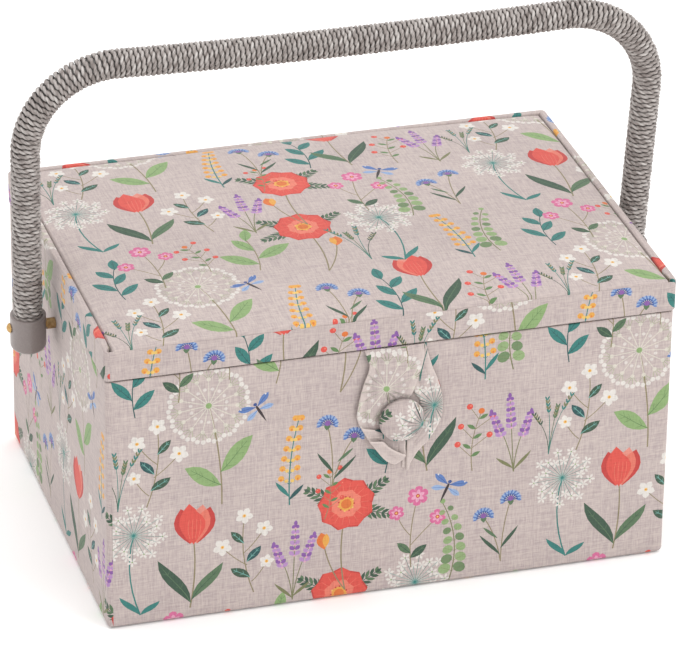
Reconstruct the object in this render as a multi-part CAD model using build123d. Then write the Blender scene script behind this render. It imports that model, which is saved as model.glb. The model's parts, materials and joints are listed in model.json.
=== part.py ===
from build123d import *
import math
import os

# A cloth-covered sewing box: a board box, a padded lid on a cloth hinge, a button
# and cloth loop at the front, and a wound handle that swings on two rivets.
# Millimetres. The origin is the centre of the underside. +X is to the right,
# the front faces -Y, and +Z is up.

# Driving dimensions of the box
box_width = 320.0
box_depth = 227.0
box_height = 152.5
board = 3.0
cloth = 0.6
corner_radius = 3.0
base_edge_radius = 2.6
base_sheet = 0.6
base_sheet_inset = 3.5
rim_turn_in = 10.0
base_turn_in = 14.0
floor_pad_height = 3.5
fit_gap = 0.3

# Driving dimensions of the lid
lid_gap = 0.3
lid_height = 19.3
lid_overhang = 0.45
rim_round = 1.4
lid_turn_in = 6.0
front_fold_drop = 2.4
panel_drop = 1.6
pad_height = 5.0
pad_shoulder = 2.6
pad_shoulder_width = 16.0
pad_crown = 4.2
lining = 0.6

# Driving dimensions of the button and the loop
button_x = 3.5
button_drop = 43.0
button_diameter = 25.6
button_height = 7.6
button_edge = 2.4
button_round = 2.2
button_standoff = 3.0
button_shell = 1.2
plate_thickness = 1.2
shank_diameter = 5.0
washer_thickness = 1.0
button_washer_diameter = 14.0
loop_cloth = 0.65
loop_wall_gap = 0.4
loop_width = 49.4
loop_length = 75.4
loop_eye_diameter = 12.0

# Driving dimensions of the handle and its rivets
pivot_y = 2.0
pivot_drop = 21.6
handle_side_gap = 5.3
handle_leg_splay = 1.1
handle_rise = 160.4
handle_corner_radius = 49.3
handle_bar_sag = 2.0
handle_lean = 5.6
core_diameter = 12.0
wrap_thickness = 2.0
cap_diameter = 20.0
cap_above_pivot = 8.0
cap_below_pivot = 14.0
cap_floor = 4.0
cap_round = 3.5
cap_lip_round = 0.8
cap_bore_clearance = 0.1
rivet_diameter = 4.0
rivet_clearance = 0.05
rivet_head_diameter = 5.8
rivet_head_height = 1.9
rivet_flange_diameter = 7.0
rivet_flange_thickness = 0.8
spacer_diameter = 6.2
rivet_washer_diameter = 12.0

# Driving dimensions of the hinge cloth and of what the lid holds inside
hinge_length = 300.0
hinge_height = 30.0
cushion_width = 84.0
cushion_depth = 52.0
cushion_height = 13.0
cushion_draw_in = 2.5
cushion_x = 92.0
pocket_width = 150.0
pocket_depth = 86.0
pocket_bulge = 5.0
pocket_hem = 3.0
pocket_x = -58.0
lid_content_y = 0.0

# Values that follow from the driving dimensions
front_y = -box_depth / 2
back_y = box_depth / 2
side_x = box_width / 2
wall = cloth + board
lined_wall = wall + lining
floor_z = base_sheet + cloth + board
lid_z = box_height + lid_gap
rim_z = lid_z + lid_height
lid_width = box_width + 2 * lid_overhang
lid_front_y = front_y - lid_overhang
lid_depth = back_y - lid_front_y
lid_centre_y = (back_y + lid_front_y) / 2
panel_z = rim_z - panel_drop
front_fold_z = rim_z - front_fold_drop
board_top_z = panel_z - pad_height
lid_rim = 2 * cloth + board
button_z = box_height - button_drop
pivot_z = box_height - pivot_drop
core_radius = core_diameter / 2
wrap_radius = core_radius + wrap_thickness
cap_radius = cap_diameter / 2
cap_inner_x = side_x + handle_side_gap
cap_outer_x = cap_inner_x + cap_diameter
handle_half_span = cap_inner_x + cap_radius
rivet_radius = rivet_diameter / 2
rivet_hole_radius = rivet_radius + rivet_clearance
shank_radius = shank_diameter / 2


def block(x0, x1, y0, y1, z0, z1):
    # A plain block between two corners.
    middle = ((x0 + x1) / 2, (y0 + y1) / 2, (z0 + z1) / 2)
    return Pos(*middle) * Box(x1 - x0, y1 - y0, z1 - z0)


def rounded_block(width, depth, y_mid, z0, z1, radius, low_radius=0.0, top_radius=0.0):
    # A block with rounded upright corners, and a rounded lower or upper edge.
    solid = Pos(0, y_mid, z0) * extrude(RectangleRounded(width, depth, radius), z1 - z0)
    if low_radius > 0:
        solid = fillet(solid.faces().sort_by(Axis.Z)[0].edges(), low_radius)
    if top_radius > 0:
        solid = fillet(solid.faces().sort_by(Axis.Z)[-1].edges(), top_radius)
    return solid


def x_cylinder(radius, x0, x1, y, z):
    # A cylinder along X.
    return Pos((x0 + x1) / 2, y, z) * Rot(0, 90, 0) * Cylinder(radius, abs(x1 - x0))


def y_cylinder(radius, y0, y1, x, z):
    # A cylinder along Y.
    return Pos(x, (y0 + y1) / 2, z) * Rot(90, 0, 0) * Cylinder(radius, abs(y1 - y0))


def crowned_section(half_width, y, z_low, z_edge, shoulder, crown, inset):
    # One upright slice of a padded form: flat below, rounded shoulders, crowned top.
    lift = 0.72
    corner = z_edge + shoulder
    left = (-half_width, z_edge)
    right = (half_width, z_edge)
    left_top = (-half_width + inset, corner)
    right_top = (half_width - inset, corner)
    left_mid = (-half_width + inset * (1 - lift), z_edge + shoulder * lift)
    right_mid = (half_width - inset * (1 - lift), z_edge + shoulder * lift)
    edges = [
        Line((-half_width, z_low), left),
        ThreePointArc(left, left_mid, left_top),
        ThreePointArc(left_top, (0, corner + crown), right_top),
        ThreePointArc(right_top, right_mid, right),
        Line(right, (half_width, z_low)),
        Line((half_width, z_low), (-half_width, z_low)),
    ]
    return Plane.XZ.offset(-y) * make_face(edges)


def crowned_block(half_width, y0, y1, z_low, z_edge, shoulder, crown, inset):
    # A padded form, lofted through slices that rise from both ends to the middle.
    shares = (0.0, 0.03, 0.12, 0.5, 0.88, 0.97, 1.0)
    rises = (0.12, 0.5, 0.8, 1.0, 0.8, 0.5, 0.12)
    slices = []
    for share, rise in zip(shares, rises):
        y = y0 + (y1 - y0) * share
        high = shoulder * rise
        slices.append(crowned_section(half_width, y, z_low, z_edge, high, crown * rise, inset))
    return loft(slices)


def wall_bores(y, z):
    # Running bores for both rivets, through every layer of the side walls.
    reach = side_x + lid_overhang + fit_gap
    left = x_cylinder(rivet_hole_radius, -reach, -side_x + 2 * lined_wall, y, z)
    right = x_cylinder(rivet_hole_radius, side_x - 2 * lined_wall, reach, y, z)
    return left + right


def button_bore():
    # The hole for the button's stem, through the front wall.
    return y_cylinder(shank_radius, front_y - fit_gap, front_y + 2 * lined_wall, button_x, button_z)


def make_box_boards():
    # The board box is shaped as one block, hollowed, and cut into its five boards.
    z0 = base_sheet + cloth
    z1 = box_height - cloth
    outer = rounded_block(
        box_width - 2 * cloth,
        box_depth - 2 * cloth,
        0,
        z0,
        z1,
        corner_radius - cloth,
        base_edge_radius - cloth,
    )
    inner_x = side_x - wall
    inner_y = back_y - wall
    holes = wall_bores(pivot_y, pivot_z) + button_bore()
    front = outer & block(-side_x, side_x, front_y, -inner_y, z0, z1)
    back = outer & block(-side_x, side_x, inner_y, back_y, z0, z1)
    left = outer & block(-side_x, -inner_x, -inner_y, inner_y, z0, z1)
    right = outer & block(inner_x, side_x, -inner_y, inner_y, z0, z1)
    base = outer & block(-inner_x, inner_x, -inner_y, inner_y, z0, z0 + board)
    return {
        "base_board": base,
        "front_wall_board": front - holes,
        "back_wall_board": back,
        "left_wall_board": left - holes,
        "right_wall_board": right - holes,
    }


def make_outer_cover():
    # One cloth skin round the walls, turned in over the rim and under the base.
    outer = rounded_block(
        box_width, box_depth, 0, base_sheet, box_height, corner_radius, base_edge_radius, cloth
    )
    boards = rounded_block(
        box_width - 2 * cloth,
        box_depth - 2 * cloth,
        0,
        base_sheet + cloth,
        box_height - cloth,
        corner_radius - cloth,
        base_edge_radius - cloth,
    )
    hollow_x = side_x - wall
    hollow_y = back_y - wall
    middle_z = box_height - cloth - rim_turn_in
    mouth_x = hollow_x - cloth
    mouth_y = hollow_y - cloth
    mouth = block(-mouth_x, mouth_x, -mouth_y, mouth_y, middle_z, box_height)
    lip = block(-hollow_x, hollow_x, -hollow_y, hollow_y, middle_z, box_height - cloth) - mouth
    under_x = side_x - base_turn_in
    under_y = back_y - base_turn_in
    under = block(-under_x, under_x, -under_y, under_y, 0, base_sheet + 2 * cloth)
    cover = outer - boards - mouth - under
    cover = cover + lip
    return cover - wall_bores(pivot_y, pivot_z) - button_bore()


def make_base_cover():
    width = box_width - 2 * base_sheet_inset
    depth = box_depth - 2 * base_sheet_inset
    sheet = extrude(RectangleRounded(width, depth, corner_radius), base_sheet)
    inset_x = side_x - base_turn_in - fit_gap
    inset_y = back_y - base_turn_in - fit_gap
    centre = block(-inset_x, inset_x, -inset_y, inset_y, base_sheet, base_sheet + cloth)
    return sheet + centre


def make_wall_lining():
    # The lining stops at the turned-in edge of the outer cloth.
    outer_x = side_x - wall
    outer_y = back_y - wall
    z1 = box_height - cloth - rim_turn_in
    outer = block(-outer_x, outer_x, -outer_y, outer_y, floor_z, z1)
    inner_x = outer_x - lining
    inner_y = outer_y - lining
    inner = block(-inner_x, inner_x, -inner_y, inner_y, floor_z, z1)
    return outer - inner - wall_bores(pivot_y, pivot_z) - button_bore()


def make_floor_pad():
    half_x = side_x - lined_wall - fit_gap
    half_y = back_y - lined_wall - fit_gap
    pad = block(-half_x, half_x, -half_y, half_y, floor_z, floor_z + floor_pad_height)
    return fillet(pad.faces().sort_by(Axis.Z)[-1].edges(), floor_pad_height * 0.45)


def dome_arc(radius, start, end):
    # The arc of a domed face in profile, from its rim at (radius, start) to the axis.
    rise = end - start
    ball = (radius**2 + rise**2) / (2 * rise)
    half_turn = math.asin(radius / ball) / 2
    middle = (ball * math.sin(half_turn), end - ball + ball * math.cos(half_turn))
    return ThreePointArc((radius, start), middle, (0, end))


def make_dome(radius, height, edge, edge_round):
    # A round disc with a domed face, standing along Y.
    lines = [
        Line((0, 0), (radius, 0)),
        Line((radius, 0), (radius, edge)),
        dome_arc(radius, edge, height),
        Line((0, height), (0, 0)),
    ]
    dome = revolve(make_face(lines), Axis.Y)
    ring = dome.edges().filter_by(lambda edge: edge.is_closed).sort_by(Axis.Y)[-1]
    return fillet(ring, edge_round)


def make_button():
    # A covered dome on a back plate, whose stem passes through the front wall.
    radius = button_diameter / 2
    back = front_y - button_standoff
    dome = make_dome(radius, button_height, button_edge, button_round)
    recess = Pos(0, plate_thickness / 2, 0) * Rot(90, 0, 0) * Cylinder(
        radius - button_shell, plate_thickness
    )
    place = Pos(button_x, back, button_z) * Rot(0, 0, 180)
    stem_end = front_y + lined_wall + washer_thickness + fit_gap
    plate = y_cylinder(radius - button_shell, back - plate_thickness, back, button_x, button_z)
    stem = y_cylinder(shank_radius, back, stem_end, button_x, button_z)
    washer_y = front_y + lined_wall
    washer = y_cylinder(
        button_washer_diameter / 2, washer_y, washer_y + washer_thickness, button_x, button_z
    )
    washer = washer - y_cylinder(shank_radius, washer_y, stem_end, button_x, button_z)
    return {
        "button_dome": place * (dome - recess),
        "button_shank": plate + stem,
        "button_washer": washer,
    }


def make_loop():
    # One cloth band folded into a drop: the right arm lies lowest, the left arm
    # crosses over it, and the lower flap is turned up over both.
    # Points are shares: across from the button's centre line, and down from the top.
    top = lid_z - fit_gap
    half = loop_width / 2
    left_top = (-0.8, 0.0)
    left_low = (-0.86, 0.66)
    left_edge = [left_top, (-0.9, 0.2), (-1.0, 0.48), left_low]
    foot_edge = [left_low, (-0.37, 0.86), (-0.09, 0.94)]
    notch = [(-0.09, 0.94), (0.13, 0.86), (0.13, 0.74)]
    flap_edge = [(0.13, 0.74), (-0.42, 0.655), (-0.76, 0.61), left_low]
    cross_edge = [left_low, (0.1, 0.76), (0.16, 0.42), (0.54, 0.0), left_top]
    tip = (0.2, 1.0)
    right_edge = [tip, (0.6, 0.86), (0.92, 0.65), (1.0, 0.53), (0.87, 0.31), (0.62, 0.02)]
    inner_edge = [(0.62, 0.02), (0.1, 0.0), (0.34, 0.37), (0.0, 0.7), (0.2, 0.84), tip]

    def place(share):
        return (button_x + half * share[0], top - loop_length * share[1])

    def curve(shares):
        return [Spline([place(share) for share in shares])]

    def chain(shares):
        return [Line(place(start), place(end)) for start, end in zip(shares, shares[1:])]

    def layer(edges, number):
        start = front_y - loop_wall_gap - number * loop_cloth
        return extrude(Plane.XZ.offset(-start) * make_face(edges), loop_cloth)

    band = layer(curve(right_edge) + chain(inner_edge), 0)
    band = band + layer(curve(left_edge) + chain(cross_edge), 1)
    band = band + layer(curve(foot_edge) + chain(notch + flap_edge[1:]), 2)
    deep = front_y - loop_wall_gap - 4 * loop_cloth
    return band - y_cylinder(loop_eye_diameter / 2, deep, front_y, button_x, button_z)


def handle_path(foot):
    # Leg, corner, slightly sagging bar, corner, leg, in the upright plane of the pivots.
    splay = math.radians(handle_leg_splay)
    radius = handle_corner_radius
    leg = (handle_rise - radius - radius * math.sin(splay)) / math.cos(splay)
    half_bar = handle_half_span + leg * math.sin(splay) - radius * math.cos(splay)
    centre_z = pivot_z + handle_rise - radius
    turn = 2 * math.atan(handle_bar_sag / half_bar)
    half_turn = (math.pi / 2 + turn - splay) / 2
    foot_x = handle_half_span - foot * math.sin(splay)
    foot_z = pivot_z - foot * math.cos(splay)
    bend_x = half_bar + radius * math.cos(splay)
    bend_z = centre_z - radius * math.sin(splay)
    mid_x = half_bar + radius * math.cos(half_turn)
    mid_z = centre_z + radius * math.sin(half_turn)
    join_x = half_bar - radius * math.sin(turn)
    join_z = centre_z + radius * math.cos(turn)
    dip_z = join_z - join_x * math.tan(turn / 2)
    plane = Plane.XZ.offset(-pivot_y)
    edges = [
        Line((-foot_x, foot_z), (-bend_x, bend_z)),
        ThreePointArc((-bend_x, bend_z), (-mid_x, mid_z), (-join_x, join_z)),
        ThreePointArc((-join_x, join_z), (0, dip_z), (join_x, join_z)),
        ThreePointArc((join_x, join_z), (mid_x, mid_z), (bend_x, bend_z)),
        Line((bend_x, bend_z), (foot_x, foot_z)),
    ]
    return Wire([plane * edge for edge in edges])


def on_leg(side, piece):
    # A piece made about the pivot, put on one leg and tilted with it.
    place = Pos(side * handle_half_span, pivot_y, pivot_z)
    return place * Rot(0, side * handle_leg_splay, 0) * piece


def lean(solid):
    # The handle stands a little forward of upright.
    axis = Axis((0, pivot_y, pivot_z), (1, 0, 0))
    return solid.rotate(axis, handle_lean)


def make_handle():
    foot = cap_below_pivot - cap_floor
    path = handle_path(foot)
    ring = Circle(wrap_radius) - Circle(core_radius)
    core = sweep(on_leg(-1, Pos(0, 0, -foot) * Circle(core_radius)), path)
    wrap = sweep(on_leg(-1, Pos(0, 0, -foot) * ring), path)
    cap_height = cap_above_pivot + cap_below_pivot
    cap = Cylinder(cap_radius, cap_height)
    cap = fillet(cap.faces().sort_by(Axis.Z)[0].edges(), cap_round)
    cap = fillet(cap.faces().sort_by(Axis.Z)[-1].edges(), cap_lip_round)
    bore_depth = cap_height - cap_floor
    bore = Pos(0, 0, cap_floor / 2) * Cylinder(wrap_radius + cap_bore_clearance, bore_depth)
    cap = Pos(0, 0, (cap_above_pivot - cap_below_pivot) / 2) * (cap - bore)
    reach = cap_outer_x + cap_radius
    holes = x_cylinder(rivet_hole_radius, cap_inner_x - cap_radius, reach, pivot_y, pivot_z)
    holes = holes + x_cylinder(rivet_hole_radius, -reach, cap_radius - cap_inner_x, pivot_y, pivot_z)
    return {
        "handle_core": lean(core - holes),
        "handle_wrap": lean(wrap - holes),
        "left_end_cap": lean(on_leg(-1, cap) - holes),
        "right_end_cap": lean(on_leg(1, cap) - holes),
    }


def make_rivet(side):
    # A domed head outside the cap, a pin through cap, spacer and wall, and a flange inside.
    head_x = cap_outer_x + fit_gap
    washer_x = side_x - lined_wall - washer_thickness
    flange_x = washer_x - fit_gap
    head_radius = rivet_head_diameter / 2
    end_x = flange_x - rivet_flange_thickness
    flange_radius = rivet_flange_diameter / 2
    head_end = head_x + rivet_head_height
    profile = [
        Line((0, end_x), (flange_radius, end_x)),
        Line((flange_radius, end_x), (flange_radius, flange_x)),
        Line((flange_radius, flange_x), (rivet_radius, flange_x)),
        Line((rivet_radius, flange_x), (rivet_radius, head_x)),
        Line((rivet_radius, head_x), (head_radius, head_x)),
        dome_arc(head_radius, head_x, head_end),
        Line((0, head_end), (0, end_x)),
    ]
    pin = Rot(0, 0, -90) * revolve(make_face(profile), Axis.Y)
    spacer = x_cylinder(spacer_diameter / 2, side_x + fit_gap, cap_inner_x - fit_gap, 0, 0)
    spacer = spacer - x_cylinder(rivet_radius, side_x, cap_inner_x, 0, 0)
    washer = x_cylinder(rivet_washer_diameter / 2, washer_x, side_x - lined_wall, 0, 0)
    washer = washer - x_cylinder(rivet_hole_radius, end_x, side_x, 0, 0)
    turn = Rot(0, 0, 180) if side < 0 else Rot(0, 0, 0)
    place = Pos(0, pivot_y, pivot_z) * turn
    return place * pin, place * spacer, place * washer


def make_lid_boards():
    # The skirt frame is cut into four boards, and the top board sits inside it.
    z0 = lid_z + cloth
    z1 = rim_z - cloth
    outer = rounded_block(
        lid_width - 2 * cloth,
        lid_depth - 2 * cloth,
        lid_centre_y,
        z0,
        z1,
        corner_radius - cloth,
        0.0,
        rim_round - cloth,
    )
    half_x = lid_width / 2
    inner_x = half_x - wall
    y0 = lid_front_y + wall
    y1 = back_y - wall
    front_top = front_fold_z - cloth
    return {
        "lid_front_board": outer & block(-half_x, half_x, lid_front_y, y0, z0, front_top),
        "lid_back_board": outer & block(-half_x, half_x, y1, back_y, z0, z1),
        "lid_left_board": outer & block(-half_x, -inner_x, y0, y1, z0, z1),
        "lid_right_board": outer & block(inner_x, half_x, y0, y1, z0, z1),
        "lid_top_board": block(-inner_x, inner_x, y0, y1, board_top_z - board, board_top_z),
    }


def make_lid_side_cover():
    # A cloth band round the skirt, turned over the side and back rims and under the edge.
    outer = rounded_block(
        lid_width, lid_depth, lid_centre_y, lid_z, rim_z, corner_radius, 0.0, rim_round
    )
    boards = rounded_block(
        lid_width - 2 * cloth,
        lid_depth - 2 * cloth,
        lid_centre_y,
        lid_z + cloth,
        rim_z - cloth,
        corner_radius - cloth,
        0.0,
        rim_round - cloth,
    )
    half_x = lid_width / 2
    hollow_x = half_x - wall
    y0 = lid_front_y + wall
    y1 = back_y - wall
    mouth_x = hollow_x - cloth
    mouth = block(-mouth_x, mouth_x, y0 + cloth, y1 - cloth, lid_z, rim_z)
    low_lip = block(-hollow_x, hollow_x, y0, y1, lid_z, lid_z + lid_turn_in) - mouth
    high_lip = block(-hollow_x, hollow_x, y0, y1, board_top_z, rim_z - cloth) - mouth
    notch = block(-mouth_x, mouth_x, lid_front_y - cloth, y0 + cloth, front_fold_z, rim_z + cloth)
    cover = outer - boards - mouth
    cover = cover + low_lip
    cover = cover + high_lip
    front_gap = block(-mouth_x, mouth_x, lid_front_y + cloth, y0 + cloth, board_top_z, rim_z)
    return cover - notch - front_gap


def make_lid_panel():
    # Foam with a crown, and the cloth drawn over it down to the front fold.
    cover_half = lid_width / 2 - lid_rim
    cover_front = lid_front_y
    cover_back = back_y - lid_rim
    low = board_top_z
    outer = crowned_block(
        cover_half,
        cover_front,
        cover_back,
        low,
        panel_z,
        pad_shoulder,
        pad_crown,
        pad_shoulder_width,
    )
    inner = crowned_block(
        cover_half - cloth,
        cover_front + cloth,
        cover_back - cloth,
        low,
        panel_z - cloth,
        pad_shoulder,
        pad_crown,
        pad_shoulder_width,
    )
    half_x = lid_width / 2
    front_wall = block(
        -half_x, half_x, lid_front_y - cloth, lid_front_y + wall + cloth, low - cloth, front_fold_z
    )
    pad = inner - front_wall
    cover = outer - inner - front_wall
    return {"lid_pad": pad, "lid_top_cover": cover}


def make_lid_lining():
    # Lining under the top board and down the skirt to the turned-in edge.
    half_x = lid_width / 2 - wall
    y0 = lid_front_y + wall
    y1 = back_y - wall
    z0 = lid_z + lid_turn_in
    z1 = board_top_z - board
    outer = block(-half_x, half_x, y0, y1, z0, z1)
    inner = block(-half_x + lining, half_x - lining, y0 + lining, y1 - lining, z0, z1 - lining)
    return outer - inner


def make_pin_cushion():
    # A stuffed cushion with drawn-in sides, hung under the lid's lining.
    x = cushion_width / 2
    y = cushion_depth / 2
    outline = [
        ThreePointArc((-x, -y), (0, -y + cushion_draw_in), (x, -y)),
        ThreePointArc((x, -y), (x - cushion_draw_in, 0), (x, y)),
        ThreePointArc((x, y), (0, y - cushion_draw_in), (-x, y)),
        ThreePointArc((-x, y), (-x + cushion_draw_in, 0), (-x, -y)),
    ]
    prism = extrude(make_face(outline), cushion_height)
    edge = cushion_height * 0.35
    rest = cushion_height - edge
    crown = crowned_block(x, -y, y, 0, edge, rest * 0.6, rest * 0.4, x * 0.35)
    cushion = crown & prism
    seat = board_top_z - board - lining
    return Pos(cushion_x, lid_content_y + lid_centre_y, seat) * Rot(180, 0, 0) * cushion


def make_lid_pocket():
    # A gathered pocket, drawn flat to the lining by its elastic hem.
    x = pocket_width / 2
    y = pocket_depth / 2
    pouch = crowned_block(x, -y, y, 0, cloth, pocket_bulge * 0.55, pocket_bulge * 0.45, x * 0.2)
    hem = Pos(0, y - pocket_hem, pocket_hem / 2) * Box(pocket_width, pocket_hem, pocket_hem)
    hem = fillet(hem.edges().filter_by(Axis.X), pocket_hem * 0.4)
    seat = board_top_z - board - lining
    return Pos(pocket_x, lid_content_y + lid_centre_y, seat) * Rot(180, 0, 0) * (pouch + hem)


def make_hinge_cloth():
    # The strip across the back seam, half on the box and half on the lid.
    seam = box_height + lid_gap / 2
    low = seam - hinge_height / 2
    high = seam + hinge_height / 2
    return block(-hinge_length / 2, hinge_length / 2, back_y, back_y + cloth, low, high)


def make_parts():
    parts = {}
    parts.update(make_box_boards())
    parts["outer_cover"] = make_outer_cover()
    parts["base_cover"] = make_base_cover()
    parts["wall_lining"] = make_wall_lining()
    parts["floor_pad"] = make_floor_pad()
    parts.update(make_button())
    parts["button_loop"] = make_loop()
    parts["hinge_cloth"] = make_hinge_cloth()
    for name, side in (("left", -1), ("right", 1)):
        pin, spacer, washer = make_rivet(side)
        parts[name + "_rivet"] = pin
        parts[name + "_spacer"] = spacer
        parts[name + "_rivet_washer"] = washer
    parts.update(make_handle())
    parts.update(make_lid_boards())
    parts["lid_side_cover"] = make_lid_side_cover()
    parts.update(make_lid_panel())
    parts["lid_lining"] = make_lid_lining()
    parts["pin_cushion"] = make_pin_cushion()
    parts["lid_pocket"] = make_lid_pocket()
    return parts


os.makedirs("parts", exist_ok=True)
for node, shape in make_parts().items():
    shape.label = node
    export_step(shape, "parts/" + node + ".step")
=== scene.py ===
import json
import math

import bpy
import numpy as np
from mathutils import Matrix, Vector
from mathutils.geometry import delaunay_2d_cdt


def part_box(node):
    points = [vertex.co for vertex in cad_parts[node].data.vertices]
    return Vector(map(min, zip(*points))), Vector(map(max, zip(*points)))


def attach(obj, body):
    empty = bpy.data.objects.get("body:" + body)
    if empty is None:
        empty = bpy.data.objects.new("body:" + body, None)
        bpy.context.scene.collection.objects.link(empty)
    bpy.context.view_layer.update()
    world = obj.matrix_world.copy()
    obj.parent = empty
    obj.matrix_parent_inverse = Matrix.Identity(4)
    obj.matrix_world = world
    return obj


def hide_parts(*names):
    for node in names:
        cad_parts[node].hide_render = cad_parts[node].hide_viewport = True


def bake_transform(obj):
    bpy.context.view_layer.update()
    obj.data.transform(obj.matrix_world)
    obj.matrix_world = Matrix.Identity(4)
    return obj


# A cloth-covered sewing box: what the camera sees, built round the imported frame.
# Lengths here are millimetres, and are turned to metres where a mesh is made.

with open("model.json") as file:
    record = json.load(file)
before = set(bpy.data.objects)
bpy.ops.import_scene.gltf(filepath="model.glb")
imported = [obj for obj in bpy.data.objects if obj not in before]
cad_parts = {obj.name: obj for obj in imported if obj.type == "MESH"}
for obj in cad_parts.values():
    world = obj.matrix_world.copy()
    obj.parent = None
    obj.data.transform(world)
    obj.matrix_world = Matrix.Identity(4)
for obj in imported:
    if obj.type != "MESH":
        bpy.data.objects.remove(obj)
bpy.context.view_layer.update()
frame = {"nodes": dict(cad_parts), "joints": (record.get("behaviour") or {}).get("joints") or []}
MM = 1000.0


def node_box(name):
    low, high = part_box(name)
    return np.array(low) * MM, np.array(high) * MM


# sizes read from the frame

body_low, body_high = node_box("outer_cover")
lid_low, lid_high = node_box("lid_side_cover")
panel_low, panel_high = node_box("lid_top_cover")
button_low, button_high = node_box("button_dome")
loop_low, loop_high = node_box("button_loop")
cap_high = node_box("right_end_cap")[1]
wrap_high = node_box("handle_wrap")[1]
hinge_low, hinge_high = node_box("hinge_cloth")
lining_low, lining_high = node_box("wall_lining")
lid_lining_low, lid_lining_high = node_box("lid_lining")
floor_low, floor_high = node_box("floor_pad")
cushion_low, cushion_high = node_box("pin_cushion")
pocket_low, pocket_high = node_box("lid_pocket")
foam_low, foam_high = node_box("lid_pad")
pivot_at = next(joint["pos_m"] for joint in frame["joints"] if joint["name"] == "handle_swing")

BODY_HALF = np.array([body_high[0], body_high[1]])
BODY_TOP = body_high[2]
BODY_BASE = body_low[2]
CORNER = 3.0
CLOTH = 0.6
WALL = 3.6
LID_HALF = np.array([lid_high[0], (lid_high[1] - lid_low[1]) / 2])
LID_MID_Y = (lid_high[1] + lid_low[1]) / 2
LID_BASE = lid_low[2]
LID_TOP = lid_high[2]
PIVOT = np.array(pivot_at) * MM

# flat drawing: every printed shape is a closed ring, a colour and how far it covers

# The studio is bright enough to bleach the floor, so colours are taken down by as much.
DIMMED = 0.68


def linear(colour):
    c = np.array(colour, float) / 255
    return DIMMED * np.where(c <= 0.04045, c / 12.92, ((c + 0.055) / 1.055) ** 2.4)


CORAL = linear((232, 84, 72))
CORAL_DEEP = linear((204, 60, 56))
CORAL_PALE = linear((246, 134, 112))
ORANGE = linear((232, 122, 50))
AMBER = linear((242, 176, 76))
YELLOW = linear((247, 206, 112))
BLUE = linear((94, 132, 196))
BLUE_DEEP = linear((50, 82, 148))
BLUE_PALE = linear((158, 186, 226))
VIOLET = linear((142, 92, 172))
LILAC = linear((190, 148, 206))
PINK = linear((226, 112, 162))
PINK_PALE = linear((243, 176, 204))
WHITE = linear((240, 236, 230))
CREAM = linear((230, 225, 212))
TEAL = linear((38, 130, 124))
TEAL_DEEP = linear((18, 84, 86))
TEAL_PALE = linear((120, 186, 176))
LEAF = linear((146, 180, 118))
LEAF_DEEP = linear((100, 138, 86))
OLIVE = linear((126, 130, 88))
GREEN = linear((52, 88, 68))
GREEN_MID = linear((88, 122, 88))
STEM = linear((148, 138, 104))
NIGHT = linear((46, 38, 44))


def polar(angle, radius=1.0):
    return np.array([math.sin(math.radians(angle)), math.cos(math.radians(angle))]) * radius


def curve(start, bend, end, steps=7):
    t = np.linspace(0, 1, steps + 1)[:, None]
    start, bend, end = np.array(start, float), np.array(bend, float), np.array(end, float)
    return (1 - t) ** 2 * start + 2 * t * (1 - t) * bend + t * t * end


def stroke(art, path, colour, wide, thin=None, cover=1.0):
    # A line of ink along a path, which may thin out towards its end.
    path = np.array(path, float)
    thin = wide if thin is None else thin
    ahead = np.gradient(path, axis=0)
    ahead /= np.maximum(np.linalg.norm(ahead, axis=1, keepdims=True), 1e-9)
    side = np.stack([-ahead[:, 1], ahead[:, 0]], 1)
    half = np.linspace(wide, thin, len(path))[:, None] / 2
    ring = np.concatenate([path + side * half, (path - side * half)[::-1]])
    art.append((ring, colour, cover))


def blade(art, at, angle, length, width, colour, sway=0.12, full=1.0, notch=0.0, cover=1.0, n=6):
    # A leaf or petal: pointed at full 1, rounder at its far end with full above it.
    t = np.linspace(0, 1, n + 1)
    half = width / 2 * np.sin(math.pi * t**full) ** 0.85
    middle = np.stack([sway * length * np.sin(math.pi * t * 0.5) ** 2, t * length], 1)
    if notch:
        middle[-1, 1] -= notch * length
    left = middle + np.stack([-half, np.zeros(n + 1)], 1)
    right = middle + np.stack([half, np.zeros(n + 1)], 1)
    ring = np.concatenate([left, right[-2:0:-1]])
    art.append((spin(ring, angle) + np.array(at), colour, cover))
    return spin(middle, angle) + np.array(at)


def spin(points, angle):
    a = math.radians(angle)
    c, s = math.cos(a), math.sin(a)
    return np.array(points, float) @ np.array([[c, -s], [s, c]])


def dot(art, at, radius, colour, cover=1.0, n=8, squash=1.0, angle=0.0):
    turn = np.arange(n) / n * 2 * math.pi + 0.2
    ring = np.stack([np.cos(turn), np.sin(turn) * squash], 1) * radius
    art.append((spin(ring, angle) + np.array(at), colour, cover))


def leaf(art, at, angle, length, width, colour, vein, sway=0.12, ribs=3):
    middle = blade(art, at, angle, length, width, colour, sway)
    stroke(art, middle[:-1], vein, 0.5, 0.25)
    for i in range(1, ribs + 1):
        root = middle[int(round(i / (ribs + 1.4) * (len(middle) - 1)))]
        for side in (-1, 1):
            tip = root + polar(angle + side * 42, width * 0.42)
            stroke(art, [root, tip], vein, 0.34, 0.2, 0.8)


def flower(art, at, petals, length, width, colour, notch=0.12, full=1.5, turn=0.0):
    for i in range(petals):
        blade(art, at, turn + i * 360 / petals, length, width, colour, 0, full, notch, n=5)


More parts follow.
